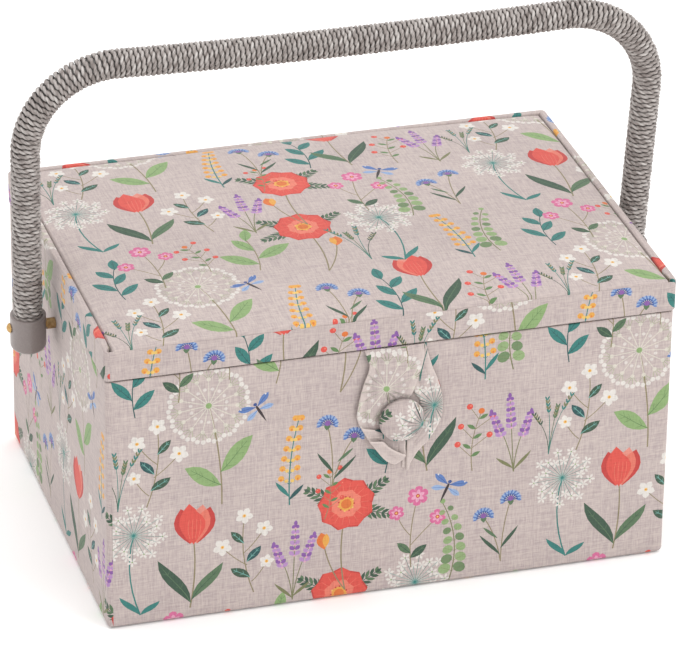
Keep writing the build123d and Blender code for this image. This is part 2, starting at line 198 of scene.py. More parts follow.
def tulip(art):
    stem = curve((0, 0), (3, 22), (0, 42))
    stroke(art, stem, STEM, 0.9, 0.7)
    leaf(art, (0.3, 3), -24, 34, 7.5, GREEN, GREEN_MID, -0.2, 2)
    leaf(art, (0.6, 5), 26, 27, 6.5, GREEN_MID, GREEN, 0.2, 2)
    for side in (-1, 1):
        blade(art, (side * 2.0, 40), side * 13, 23, 12, CORAL_DEEP, side * 0.05, 1.1)
    blade(art, (-1.5, 40), -5, 25, 12, CORAL, 0, 1.15)
    blade(art, (1.5, 40), 6, 24, 12, CORAL_PALE, 0, 1.15, cover=0.8)
    blade(art, (0, 39.5), 0, 21, 12.5, CORAL, 0, 1.25)
    for x in (-3.2, -1.1, 1.1, 3.2):
        stroke(art, curve((x * 0.7, 43), (x * 1.3, 49), (x, 55), 4), CORAL_PALE, 0.3, 0.3, 0.7)


def zinnia(art):
    for angle in (-62, 55, -112):
        spray(art, polar(angle, 9) + np.array([0, 52]), angle, 17, GREEN_MID, GREEN)
    stroke(art, curve((4, 0), (7, 24), (1, 48)), STEM, 0.8)
    stroke(art, curve((4, 0), (12, 14), (14, 30)), STEM, 0.7)
    blade(art, (14, 28), 6, 11, 7, ORANGE, 0, 1.1)
    blade(art, (13.4, 29), -8, 9, 4, AMBER, 0, 1.1)
    centre = (0, 54)
    flower(art, centre, 9, 17.5, 11.5, CORAL_DEEP, 0.05, 1.7)
    flower(art, centre, 9, 17.0, 10.5, CORAL, 0.05, 1.7, 4)
    for i in range(18):
        ray = [polar(i * 20 + 6, reach) + centre for reach in (6, 13)]
        stroke(art, ray, CORAL_PALE, 0.4, 0.2, 0.7)
    flower(art, centre, 8, 9.5, 6.5, CORAL_PALE, 0.05, 1.6, 20)
    dot(art, centre, 4.4, AMBER, n=12)
    dot(art, centre, 3.0, ORANGE, n=12)
    for i in range(11):
        dot(art, polar(i * 33, 4.5) + centre, 0.6, YELLOW if i % 2 else CORAL_DEEP, n=5)


def spray(art, at, angle, length, colour, vein):
    pairs = 5
    stroke(art, [at, at + polar(angle, length)], vein, 0.6, 0.4)
    for i in range(pairs):
        root = at + polar(angle, length * (0.12 + 0.78 * i / (pairs - 1)))
        size = length * (0.46 - 0.22 * i / (pairs - 1))
        for side in (-1, 1):
            blade(art, root, angle + side * 38, size, 2.1, colour if (i + side) % 2 else vein, 0, n=3)
    blade(art, at + polar(angle, length * 0.9), angle, length * 0.24, 2.0, vein, 0, n=3)


def allium(art):
    centre = np.array([0.0, 50.0])
    base = (6, 0)
    stroke(art, curve(base, (-5, 26), centre), TEAL, 0.9, 0.7)
    for side, reach in ((-1, 17), (1, 13)):
        blade(art, base, side * 38 + 4, reach, 3.6, TEAL, side * 0.2)
    rays = 26
    angles = [i * 360 / rays for i in range(rays)]
    tips = [centre + polar(angle, 17.0 * (0.62, 0.97, 0.8)[i % 3]) for i, angle in enumerate(angles)]
    for i, tip in enumerate(tips):
        stroke(art, [centre, tip], TEAL if i % 2 else TEAL_PALE, 0.34, 0.26, 0.85)
    for i, tip in enumerate(tips):
        for k in range(5):
            blade(art, tip, angles[i] + k * 72, 3.1, 1.5, WHITE, 0, 1.5, cover=0.92, n=3)
        if i % 2:
            dot(art, tip, 0.5, LEAF, n=5)
    dot(art, centre, 0.9, TEAL, n=7)


def parasol(art):
    # A pale round head of fine rays, the largest light shape in the print.
    centre = np.array([0.0, 62.0])
    stroke(art, curve((2, 0), (5, 30), centre), STEM, 0.8)
    leaf(art, (2.6, 12), -58, 24, 9.5, LEAF, LEAF_DEEP, 0.1)
    leaf(art, (3.0, 20), 52, 27, 10, LEAF, LEAF_DEEP, -0.1)
    for i in range(15):
        angle = i * 24 + 5
        tip = centre + polar(angle, 16)
        stroke(art, [centre, tip], CREAM, 0.5, 0.4)
        for k in (-44, -15, 15, 44):
            end = tip + polar(angle + k, 6.4)
            stroke(art, [tip, end], LEAF, 0.26, 0.22, 0.8)
            dot(art, end, 1.5, WHITE, 0.85, 6)
        dot(art, tip, 1.3, CREAM, 0.9, 6)
        dot(art, centre + polar(angle + 12, 10), 1.1, WHITE, 0.7, 6)
    dot(art, centre, 1.8, LEAF, n=8)


def cornflower(art):
    for lean, high in ((-9, 30), (7, 38)):
        head = np.array([lean, high], float)
        stroke(art, curve((0, 0), (lean * 0.2, high * 0.6), head), STEM, 0.6)
        blade(art, head - (0, 3.4), 0, 4.6, 3.6, GREEN_MID, 0, 1.2, n=4)
        for i in range(9):
            angle = -88 + i * 22
            tip = head + polar(angle, 4.2)
            for k in (-22, 0, 22):
                colour = BLUE if k else BLUE_PALE
                blade(art, tip - polar(angle, 1.5), angle + k, 3.9, 1.5, colour, 0, 1.4, n=3)
            stroke(art, [head, tip], BLUE_DEEP, 0.5, 0.7)
        dot(art, head + (0, 1), 1.7, VIOLET, n=7)
    blade(art, (0, 4), -32, 19, 2.2, GREEN, -0.1)
    blade(art, (0, 8), 34, 17, 2.2, GREEN, 0.1)
    blade(art, (-1.2, 15), -44, 12, 1.9, GREEN_MID, 0)


def lavender(art):
    for lean, high in ((-12, 34), (0, 46), (11, 38)):
        top = np.array([lean, high], float)
        stem = curve((0, 0), (lean * 0.15, high * 0.55), top, 8)
        stroke(art, stem, OLIVE, 0.6, 0.4)
        for i in range(6):
            at = top * (0.56 + 0.075 * i) + (0, 2)
            for side in (-1, 1):
                blade(art, at, side * 46, 4.4 - 0.35 * i, 2.7, VIOLET if i % 2 else LILAC, 0, 1.3, n=4)
            dot(art, at, 0.7, PINK_PALE, 0.8, 5)
        blade(art, top, 0, 4, 2.2, VIOLET, 0, 1.2, n=4)
    blade(art, (0, 1), -40, 15, 2.0, OLIVE, -0.1)
    blade(art, (0, 2), 42, 13, 2.0, OLIVE, 0.1)


def jasmine(art):
    stroke(art, curve((4, 0), (-3, 24), (2, 48)), STEM, 0.7, 0.5)
    for at, end in (((1.5, 18), (-11, 31)), ((0.2, 26), (12, 38)), ((3.2, 7), (12, 17))):
        stroke(art, curve(at, (np.array(at) + end) / 2 + (0, -2), end, 4), STEM, 0.5)
    leaf(art, (2.6, 10), -48, 13, 5.5, GREEN, TEAL_PALE, -0.1, 2)
    leaf(art, (1.4, 20), 40, 12, 5.0, TEAL_DEEP, TEAL_PALE, 0.1, 2)
    leaf(art, (0.6, 32), -38, 11, 4.6, GREEN, TEAL_PALE, 0, 2)
    for at, size in (((2, 49), 5.2), ((-11.5, 32), 5.6), ((12.5, 39), 5.2), ((12.5, 18), 4.4)):
        flower(art, at, 5, size, size * 0.72, WHITE, 0, 1.3, size * 20)
        dot(art, at, 1.1, YELLOW, n=7)
        dot(art, at, 0.5, ORANGE, n=5)


def cosmos(art):
    stroke(art, curve((0, 0), (-4, 22), (0, 44)), STEM, 0.7, 0.5)
    stroke(art, curve((-1.6, 14), (6, 24), (12, 30), 5), STEM, 0.5)
    stroke(art, curve((-1.8, 20), (-8, 26), (-11, 34), 5), STEM, 0.5)
    leaf(art, (-1, 6), 48, 12, 5, GREEN, GREEN_MID, 0, 2)
    leaf(art, (-1, 9), -50, 11, 4.6, GREEN_MID, GREEN, 0, 2)
    for at, size in (((0, 45), 7.0), ((12.6, 31), 5.6), ((-11.5, 35), 5.2)):
        flower(art, at, 6, size, size * 0.66, PINK, 0.1, 1.6, size * 9)
        flower(art, at, 6, size * 0.6, size * 0.3, PINK_PALE, 0, 1.4, size * 9)
        dot(art, at, 1.3, CORAL_DEEP, n=7)
        dot(art, at, 0.7, YELLOW, n=5)


def berries(art):
    stroke(art, curve((0, 0), (4, 18), (-2, 36)), STEM, 0.6, 0.4)
    roots = ((1.6, 9), (1.9, 14), (1.5, 20), (0.4, 26), (-1, 32))
    ends = ((10, 17), (-8, 22), (9, 28), (-9, 33), (5, 40))
    for i, (at, end) in enumerate(zip(roots, ends)):
        stroke(art, [at, end], STEM, 0.4)
        dot(art, end, 1.9, CORAL, n=8)
        dot(art, np.array(end) + (-0.5, 0.5), 0.6, CORAL_PALE, n=5)
        blade(art, at, 60 if i % 2 else -60, 6, 2.4, LEAF_DEEP, 0, n=4)
    dot(art, (-2, 37), 1.9, ORANGE, n=8)


def eucalyptus(art):
    stem = curve((0, 0), (-6, 26), (8, 50), 8)
    stroke(art, stem, OLIVE, 0.7, 0.5)
    for i in range(1, 8):
        at = stem[i]
        for side in (-1, 1):
            where = at + polar(side * 66 + i * 4, 5.0 - i * 0.3)
            dot(art, where, 4.1 - 0.32 * i, LEAF if (i + side) % 3 else LEAF_DEEP, 0.92, 10, 0.86, side * 30)
            stroke(art, [at, where + polar(side * 66, 2.2)], OLIVE, 0.3, 0.2, 0.7)
    dot(art, stem[-1] + (0, 1), 1.6, LEAF, n=8)


def goldenrod(art):
    stem = curve((0, 0), (-3, 26), (2, 52), 8)
    stroke(art, stem, TEAL, 0.8, 0.5)
    for i in range(2, 9):
        at = stem[i]
        reach = 7.2 - 0.62 * i
        for side in (-1, 1):
            end = at + polar(side * 52, reach)
            stroke(art, [at, end], TEAL, 0.35)
            dot(art, end, 1.9, AMBER, n=7)
            dot(art, at + polar(side * 40, reach * 0.45), 1.2, YELLOW, n=6)
            dot(art, end + (0, -0.8), 0.7, ORANGE, 0.8, 5)
    dot(art, stem[-1] + (0, 1.5), 1.7, AMBER, n=7)
    blade(art, (-0.5, 5), -34, 13, 2.6, TEAL, -0.1)
    blade(art, (-0.5, 3), 34, 12, 2.6, TEAL_DEEP, 0.1)


def broadleaf(art):
    stroke(art, curve((0, 0), (4, 20), (-2, 42)), STEM, 0.7)
    leaf(art, (1, 8), -62, 25, 10, LEAF, LEAF_DEEP, 0.08, 4)
    leaf(art, (1.6, 15), 58, 26, 10, LEAF, LEAF_DEEP, -0.08, 4)
    leaf(art, (1.2, 25), -40, 19, 8, LEAF, LEAF_DEEP, 0.08, 3)
    leaf(art, (-1.6, 38), 8, 15, 7, LEAF, LEAF_DEEP, 0, 3)


def tealspray(art):
    stroke(art, curve((0, 0), (6, 20), (0, 40)), TEAL_DEEP, 0.7, 0.5)
    roots = ((1.6, 5), (2.6, 11), (3.0, 19), (2.4, 27), (0.4, 37))
    for at, angle, size in zip(roots, (-46, 44, -34, 38, -4), (17, 18, 15, 14, 13)):
        leaf(art, at, angle, size, 6.2, TEAL, TEAL_DEEP, 0.05, 3)


def grass(art):
    for lean, high, tint in ((-13, 30, GREEN), (-5, 42, TEAL), (3, 36, GREEN_MID), (12, 44, TEAL)):
        stem = curve((0, 0), (lean * 0.1, high * 0.6), (lean, high), 6)
        stroke(art, stem, tint, 0.6, 0.35)
        for i in range(5):
            at = stem[-1] - (stem[-1] - stem[-3]) * 0.2 * i
            for side in (-1, 1):
                blade(art, at, side * 24 + lean, 4.0, 1.3, OLIVE if i % 2 else tint, 0, n=3)


def dragonfly(art):
    for side in (-1, 1):
        blade(art, (0, 1.6), side * 68, 12.5, 4.4, BLUE, 0, 1.5)
        blade(art, (0, -0.4), side * 106, 10.5, 3.8, BLUE_PALE, 0, 1.5)
        stroke(art, [(0, 1.6), np.array([0, 1.6]) + polar(side * 68, 11)], BLUE_DEEP, 0.4, 0.25)
        stroke(art, [(0, -0.4), np.array([0, -0.4]) + polar(side * 106, 9)], BLUE, 0.4, 0.25)
        dot(art, polar(side * 64, 10.4) + (0, 1.8), 0.6, WHITE, n=5)
    blade(art, (0, 3.6), 180, 15, 1.9, NIGHT, 0, 0.7)
    dot(art, (0, 3.8), 1.3, BLUE_DEEP, n=7)


# The repeat of the print: what grows where, its turn, its size and whether it is mirrored.
TILE = (244.0, 180.0)
LAYOUT = (
    (tulip, 12, 0, 3, 1.0, 1), (jasmine, 44, 4, -4, 1.0, 1), (lavender, 70, -4, 2, 1.0, 1),
    (zinnia, 104, -2, -4, 1.0, -1), (cosmos, 138, 6, 4, 1.0, 1), (eucalyptus, 160, -6, 4, 1.0, -1),
    (cornflower, 190, 2, -3, 1.0, 1), (allium, 222, 0, 3, 1.0, 1),
    (dragonfly, 158, 54, 24, 0.9, 1), (berries, 88, 44, 8, 0.8, 1),
    (parasol, 28, 62, -5, 1.0, 1), (goldenrod, 68, 56, 3, 1.0, 1), (cornflower, 92, 64, 6, 1.0, -1),
    (tealspray, 122, 68, -3, 1.0, 1), (tulip, 146, 66, -5, 0.95, -1), (berries, 172, 62, 4, 1.0, -1),
    (lavender, 196, 58, -4, 1.0, -1), (jasmine, 236, 66, 5, 1.0, -1), (grass, 216, 66, 4, 0.8, 1),
    (dragonfly, 50, 118, -30, 0.85, 1),
    (cosmos, 6, 128, -4, 1.0, -1), (zinnia, 92, 122, 5, 1.0, 1), (broadleaf, 60, 132, 5, 0.95, 1),
    (grass, 122, 128, -4, 0.9, -1), (allium, 146, 124, -6, 1.05, -1), (goldenrod, 178, 118, -5, 1.0, -1),
    (eucalyptus, 194, 122, -3, 1.0, 1), (tealspray, 226, 122, 5, 0.95, -1), (berries, 34, 138, -8, 0.9, 1),
)


def repeat():
    art = []
    for motif, x, y, turn, size, flip in LAYOUT:
        own = []
        motif(own)
        for ring, colour, cover in own:
            ring = spin(ring * size * np.array([flip, 1.0]), turn) + np.array([x, y])
            art.append((ring, colour, cover))
    return art


REPEAT = repeat()


def printed(low, high, shift):
    # The rings of the repeat that reach into a flat rectangle of cloth. Plain cloth has no shift.
    if shift is None:
        return []
    low, high, shift = np.array(low, float), np.array(high, float), np.array(shift, float)
    found = []
    first = np.floor((low - shift - 80) / TILE).astype(int)
    last = np.ceil((high - shift + 80) / TILE).astype(int)
    for j in range(first[1], last[1] + 1):
        for i in range(first[0], last[0] + 1):
            move = np.array([i * TILE[0], j * TILE[1]]) + shift
            for ring, colour, cover in REPEAT:
                placed = ring + move
                if (placed.max(0) > low).all() and (placed.min(0) < high).all():
                    found.append((placed, colour, cover))
    return found


# meshes


def inside(points, ring):
    x, y = points[:, 0], points[:, 1]
    hit = np.zeros(len(points), bool)
    x0, y0 = ring[-1]
    for x1, y1 in ring:
        if y1 != y0:
            crosses = (y0 > y) != (y1 > y)
            hit ^= crosses & (x < (x1 - x0) * (y - y0) / (y1 - y0) + x0)
        x0, y0 = x1, y1
    return hit


def paint(centres, art):
    order = np.argsort(centres[:, 0])
    xs = centres[order, 0]
    ink = np.zeros((len(centres), 4))
    for ring, colour, cover in art:
        low, high = ring.min(0), ring.max(0)
        a, b = np.searchsorted(xs, [low[0], high[0]])
        pick = order[a:b]
        pick = pick[(centres[pick, 1] >= low[1]) & (centres[pick, 1] <= high[1])]
        pick = pick[inside(centres[pick], ring)]
        ink[pick] *= 1 - cover
        ink[pick, :3] += colour * cover
        ink[pick, 3] += cover
    covered = ink[:, 3] > 1e-6
    ink[covered, :3] /= ink[covered, 3:]
    return ink


def cut(outline, grid, art, folds=()):
    # Triangles of a flat outline, with edges along every printed shape and every fold line.
    verts, edges = [], []
    rings = [np.array(outline, float)] + [ring for ring, _, _ in art]
    for ring in rings:
        start, n = len(verts), len(ring)
        verts.extend(ring)
        edges.extend((start + i, start + (i + 1) % n) for i in range(n))
    for ends in folds:
        edges.append((len(verts), len(verts) + 1))
        verts.extend(ends)
    verts.extend(grid)
    verts = [Vector((float(x), float(y))) for x, y in verts]
    made = delaunay_2d_cdt(verts, edges, [], 0, 1e-3, False)
    points = np.array([(v.x, v.y) for v in made[0]])
    faces = np.array([list(f) for f in made[2]])
    corner = points[faces]
    centres = corner.mean(1)
    a, b = corner[:, 1] - corner[:, 0], corner[:, 2] - corner[:, 0]
    has_area = np.abs(a[:, 0] * b[:, 1] - a[:, 1] * b[:, 0]) > 1e-7
    keep = inside(centres, rings[0]) & has_area
    faces, centres = faces[keep], centres[keep]
    used, faces = np.unique(faces, return_inverse=True)
    return points[used], faces.reshape(-1, 3), paint(centres, art)


def build(name, points, faces, material, flat=None, ink=None, normals=None, smooth=True):
    mesh = bpy.data.meshes.new(name)
    mesh.from_pydata((np.array(points) / MM).tolist(), [], [list(map(int, f)) for f in faces])
    if flat is not None:
        layer = mesh.attributes.new("flat", "FLOAT_VECTOR", "POINT")
        wide = np.zeros((len(points), 3), np.float32)
        wide[:, : flat.shape[1]] = flat
        layer.data.foreach_set("vector", wide.ravel())
    if ink is not None:
        layer = mesh.attributes.new("print", "FLOAT_COLOR", "CORNER")
        corners = np.repeat(np.array(ink, np.float32), [len(f) for f in faces], axis=0)
        layer.data.foreach_set("color", corners.ravel())
    mesh.polygons.foreach_set("use_smooth", [smooth] * len(mesh.polygons))
    if normals is not None:
        mesh.normals_split_custom_set_from_vertices(np.array(normals).tolist())
    mesh.materials.append(material)
    mesh.update()
    thing = bpy.data.objects.new(name, mesh)
    bpy.context.scene.collection.objects.link(thing)
    return thing


def dress(thing, body, node):
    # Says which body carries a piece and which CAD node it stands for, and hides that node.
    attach(thing, body)
    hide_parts(node)


def normals_of(place, flat):
    du, dv = np.array([0.05, 0]), np.array([0, 0.05])
    across = place(flat + du) - place(flat - du)
    up = place(flat + dv) - place(flat - dv)
    normal = np.cross(across, up)
    return normal / np.maximum(np.linalg.norm(normal, axis=1, keepdims=True), 1e-12)


def spread_lines(lines, step):
    # Values between the given ones, no further apart than step.
    out = []
    for a, b in zip(lines, lines[1:]):
        n = max(1, math.ceil((b - a) / step))
        out.extend(a + (b - a) * i / n for i in range(n))
    return np.array(out + [lines[-1]])


def run_along(line):
    # The distance along a line of points, at each of them.
    return np.concatenate([[0], np.cumsum(np.linalg.norm(np.diff(line, axis=0), axis=1))])


def eased(share):
    share = np.clip(share, 0, 1)
    return share * share * (3 - 2 * share)


def rounded(share):
    # A quarter circle from 0 to 1, steep at first.
    return np.sqrt(np.clip(1 - (1 - np.clip(share, 0, 1)) ** 2, 0, 1))


def fading(distance, reach):
    # 1 where the distance is nothing, falling away over reach on both sides.
    return np.exp(-((distance / reach) ** 2))


def distance_to_path(points, path):
    best = np.full(len(points), np.inf)
    for a, b in zip(path, path[1:]):
        d = b - a
        t = np.clip(((points - a) @ d) / max(float(d @ d), 1e-12), 0, 1)
        best = np.minimum(best, np.linalg.norm(points - a - t[:, None] * d, axis=1))
    return best


def distance_to(points, ring):
    return distance_to_path(points, np.concatenate([ring, ring[:1]]))


def lattice(us, vs):
    u, v = np.meshgrid(us, vs)
    return np.stack([u.ravel(), v.ravel()], 1)


def close_lines(lines):
    # The inner lines that stand close together, where the cloth bends.
    near = np.diff(lines) < 2.0
    return np.array(lines)[1:-1][near[:-1] | near[1:]]


def sheet_mesh(name, us, vs, place, material, shift=None):
    # A rectangle of cloth, cut along its print and its bends, and laid where place says.
    outline = [(us[0], v) for v in vs[::-1]] + [(u, vs[0]) for u in us[1:]]
    outline += [(us[-1], v) for v in vs[1:]] + [(u, vs[-1]) for u in us[-2:0:-1]]
    folds = [((us[0], v), (us[-1], v)) for v in close_lines(vs)]
    folds += [((u, vs[0]), (u, vs[-1])) for u in close_lines(us)]
    art = printed((us[0], vs[0]), (us[-1], vs[-1]), shift)
    flat, faces, ink = cut(outline, lattice(us[1:-1], vs[1:-1]), art, folds)
    return build(name, place(flat), faces, material, flat, ink, normals_of(place, flat))


def grid_faces(columns, rows, start=0, closed=False, flip=False):
    faces = []
    span = columns if closed else columns - 1
    for j in range(rows - 1):
        for i in range(span):
            a = start + j * columns + i
            b = start + j * columns + (i + 1) % columns
            face = (a, b, b + columns, a + columns)
            faces.append(face[::-1] if flip else face)
    return faces


def pad_mesh(name, columns, rows, grid, top, low, material, stretch=1.0):
    # A closed form over a grid, from the heights of its upper side and of its lower side.
    count = columns * rows
    faces = grid_faces(columns, rows) + grid_faces(columns, rows, count, flip=True)
    rim = list(range(columns)) + [j * columns + columns - 1 for j in range(1, rows)]
    rim += [(rows - 1) * columns + i for i in range(columns - 2, -1, -1)]
    rim += [j * columns for j in range(rows - 2, 0, -1)]
    faces += [(a, a + count, b + count, b) for a, b in zip(rim, rim[1:] + rim[:1])]
    sides = [np.column_stack([grid, np.broadcast_to(high, count)]) for high in (top, low)]
    return build(name, np.concatenate(sides), faces, material, np.concatenate([grid * stretch, grid]))


def closed_pad(name, xs, ys, top, low, material):
    # A stuffed form with a level underside, and a top whose height is a function of x and y.
    grid = lattice(xs, ys)
    return pad_mesh(name, len(xs), len(ys), grid, top(grid[:, 0], grid[:, 1]), low, material)


# materials


class Nodes:
    """A material's node tree round one shader. A source is a node and one of its outputs."""

    def __init__(self, name):
        self.material = bpy.data.materials.new(name)
        self.material.use_nodes = True
        self.tree = self.material.node_tree
        self.tree.nodes.clear()
        self.shader = self.add("ShaderNodeBsdfPrincipled")
        self.link((self.shader, "BSDF"), self.add("ShaderNodeOutputMaterial"), "Surface")

    def set(self, node, **inputs):
        for key, value in inputs.items():
            node.inputs[key.replace("_", " ")].default_value = value

    def add(self, kind, **inputs):
        node = self.tree.nodes.new(kind)
        self.set(node, **inputs)
        return node

    def link(self, source, node, socket):
        self.tree.links.new(source[0].outputs[source[1]], node.inputs[socket])

    def put(self, item, node, index):
        # Links a source, or sets a number or a colour on the node's own socket.
        if isinstance(item, float):
            node.inputs[index].default_value = item
        elif isinstance(item[0], float):
            node.inputs[index].default_value = (*item, 1.0)
        else:
            self.link(item, node, index)

    def attribute(self, name):
        node = self.add("ShaderNodeAttribute")
        node.attribute_name = name
        return node

    def noise(self, source, size, detail, rough=0.5):
        scaled = self.add("ShaderNodeVectorMath")
        scaled.operation = "MULTIPLY"
        scaled.inputs[1].default_value = size
        self.link(source, scaled, 0)
        node = self.add("ShaderNodeTexNoise", Scale=1.0, Detail=detail, Roughness=rough)
        self.link((scaled, "Vector"), node, "Vector")
        return node, "Fac"

    def ramp(self, source, stops):
        node = self.add("ShaderNodeValToRGB")
        bar = node.color_ramp
        while len(bar.elements) < len(stops):
            bar.elements.new(0.5)
        for element, (at, colour) in zip(bar.elements, stops):
            element.position = at
            element.color = (*colour, 1.0)
        self.link(source, node, "Fac")
        return node, "Color"

    def math(self, operation, a, b):
        node = self.add("ShaderNodeMath")
        node.operation = operation
        self.put(a, node, 0)
        self.put(b, node, 1)
        return node, 0

    def depth_of(self, source):
        node = self.add("ShaderNodeSeparateXYZ")
        self.link(source, node, "Vector")
        return node, "Z"

    def mix(self, factor, a, b, blend="MIX"):
        node = self.add("ShaderNodeMix")
        node.data_type = "RGBA"
        node.blend_type = blend
        for index, item in ((0, factor), (6, a), (7, b)):
            self.put(item, node, index)
        return node, 2

    def bump(self, source, distance, strength):
        node = self.add("ShaderNodeBump", Strength=strength, Distance=distance / MM)
        self.link(source, node, "Height")
        self.link((node, "Normal"), self.shader, "Normal")


def tone(colour):
    return tuple(float(x) for x in linear(colour))


def grey(level):
    return (level, level, level)


def cloth_material(name, colours, with_print, thread=1.0, depth=0.12):
    # A plain weave of slubby threads; the flat layer's third value says where a painted highlight turns its
    # edge pale.
    rim, pale, middle, dark = (tone(colour) for colour in colours)
    n = Nodes(name)
    flat = (n.attribute("flat"), "Vector")

    def threads(along, across, detail, rough=0.5):
        # Noise drawn out along the warp, and the same along the weft.
        warp = n.noise(flat, (along * thread, across * thread, 1.0), detail, rough)
        weft = n.noise(flat, (across * thread, along * thread, 1.0), detail, rough)
        return n.math("ADD", warp, weft)

    both = n.math("ADD", threads(0.95, 0.05, 2.0, 0.6), threads(2.4, 0.2, 1.0))
    weave = n.math("MULTIPLY", both, 0.25)
    ground = n.ramp(weave, ((0.40, dark), (0.50, middle), (0.60, pale)))
    drift = n.noise(flat, (0.02, 0.02, 1.0), 1.0)
    shade = n.ramp(drift, ((0.35, (0.955, 0.95, 0.955)), (0.65, grey(1.0))))
    even = n.mix(1.0, ground, shade, "MULTIPLY")
    # Painted highlight: the pale rim colour is mixed in as far as the flat layer's third value says.
    edge_highlight = n.math("MULTIPLY", n.depth_of(flat), 0.75)
    cloth = n.mix(edge_highlight, even, rim)
    if with_print:
        ink = n.attribute("print")
        grain = n.ramp(weave, ((0.38, grey(0.80)), (0.52, grey(1.0))))
        worked = n.mix(1.0, (ink, "Color"), grain, "MULTIPLY")
        cloth = n.mix(n.math("MULTIPLY", (ink, "Alpha"), 0.94), cloth, worked)
    n.link(cloth, n.shader, "Base Color")
    n.set(n.shader, Roughness=0.88, Specular_IOR_Level=0.25, Sheen_Weight=0.12, Sheen_Roughness=0.5)
    n.bump(both, depth, 0.6)
    return n.material


def solid_material(name, low, high, size, roughness, metallic=0.0, depth=0.0, coat=0.0):
    n = Nodes(name)
    grain = n.noise((n.add("ShaderNodeTexCoord"), "Object"), size, 3.0, 0.55)
    n.link(n.ramp(grain, ((0.36, tone(low)), (0.64, tone(high)))), n.shader, "Base Color")
    n.set(n.shader, Roughness=roughness, Metallic=metallic, Coat_Weight=coat)
    n.bump(grain, depth, 0.5)
    return n.material


def cord_material():
    n = Nodes("twisted_cord")
    flat = (n.attribute("flat"), "Vector")
    strand = n.noise(flat, (0.25, 3.2, 1.0), 3.0, 0.6)
    slub = n.noise(flat, (0.04, 0.3, 1.0), 1.0)
    half = n.math("MULTIPLY", n.math("ADD", strand, slub), 0.5)
    greys = (tone((118, 107, 102)), tone((176, 167, 163)), tone((222, 217, 213)))
    colour = n.ramp(half, tuple(zip((0.36, 0.48, 0.60), greys)))
    # Painted shade: the cord is darkened where its surface faces away from the outside, in the grooves
    # between plies and turns.
    groove_shade = ((0.0, grey(1.0)), (0.45, (0.72, 0.70, 0.69)), (0.9, (0.16, 0.14, 0.13)))
    cord = n.mix(1.0, colour, n.ramp(n.depth_of(flat), groove_shade), "MULTIPLY")
    n.link(cord, n.shader, "Base Color")
    n.set(n.shader, Roughness=0.5, Sheen_Weight=0.1)
    n.bump(strand, 0.25, 0.8)
    return n.material


LINEN_COLOURS = ((236, 223, 216), (220, 206, 200), (205, 191, 187), (186, 172, 172))
LINING_COLOURS = ((236, 229, 218), (226, 219, 208), (214, 206, 196), (196, 188, 180))
VELVET_COLOURS = ((206, 100, 92), (190, 84, 78), (172, 70, 66), (146, 54, 54))
PRINTED = cloth_material("printed_linen", LINEN_COLOURS, True)
LINING = cloth_material("lining_cotton", LINING_COLOURS, False, 1.6, 0.06)
CUSHION = cloth_material("cushion_velvet", VELVET_COLOURS, False, 2.2, 0.08)
BOARD = solid_material("grey_board", (150, 140, 126), (176, 165, 150), (220, 220, 900), 0.9, 0.0, 0.2)
PAPER = solid_material("base_paper", (70, 66, 66), (84, 80, 79), (400, 400, 400), 0.85, 0.0, 0.08)
FOAM = solid_material("foam", (232, 224, 196), (244, 238, 216), (900, 900, 900), 0.95, 0.0, 0.3)
CAP = solid_material("satin_cap", (142, 131, 128), (148, 137, 134), (900, 900, 900), 0.3, 0.0, 0.015, 0.25)
GILT = solid_material("gilt", (214, 172, 110), (232, 192, 130), (600, 600, 600), 0.24, 1.0, 0.02)
BRASS = solid_material("worn_brass", (160, 126, 86), (204, 170, 124), (500, 500, 500), 0.34, 1.0, 0.05)
STEEL = solid_material("steel", (168, 168, 170), (190, 190, 192), (500, 500, 500), 0.3, 1.0, 0.02)
ROD = solid_material("rod", (120, 118, 116), (138, 136, 134), (500, 500, 500), 0.5, 0.6, 0.02)
CORD = cord_material()

# the camera, at the photograph's angle

# Fitted to the corners and edges measured in the photograph.
LENS = 255.94
SENSOR = 36.0
AZIMUTH = -16.8016
ELEVATION = 27.4988
ROLL = 0.78355
DISTANCE = 2713.477
TARGET = (3.2478, 0.0, 108.414)


def make_camera():
    azimuth, elevation, roll = (math.radians(x) for x in (AZIMUTH, ELEVATION, ROLL))
    level = math.cos(elevation)
    back = Vector((math.sin(azimuth) * level, -math.cos(azimuth) * level, math.sin(elevation)))
    across = (-back).cross(Vector((0, 0, 1))).normalized()
    up = across.cross(-back)
    right = math.cos(roll) * across + math.sin(roll) * up
    top = -math.sin(roll) * across + math.cos(roll) * up
    data = bpy.data.cameras.new("camera")
    data.sensor_width = SENSOR
    data.lens = LENS
    data.clip_end = 50.0
    camera = bpy.data.objects.new("camera", data)
    bpy.context.scene.collection.objects.link(camera)
    rows = Matrix((right, top, back)).transposed().to_4x4()
    rows.translation = Vector(TARGET) / MM + back * (DISTANCE / MM)
    camera.matrix_world = rows
    bpy.context.scene.camera = camera


def make_light(name, at, aim, size, power, colour=(1.0, 1.0, 1.0)):
    data = bpy.data.lights.new(name, "AREA")
    data.shape = "SQUARE"
    data.size = size
    data.energy = power
    data.color = colour
    lamp = bpy.data.objects.new(name, data)
    bpy.context.scene.collection.objects.link(lamp)
    lamp.location = at
    lamp.rotation_euler = (Vector(aim) - Vector(at)).to_track_quat("-Z", "Y").to_euler()


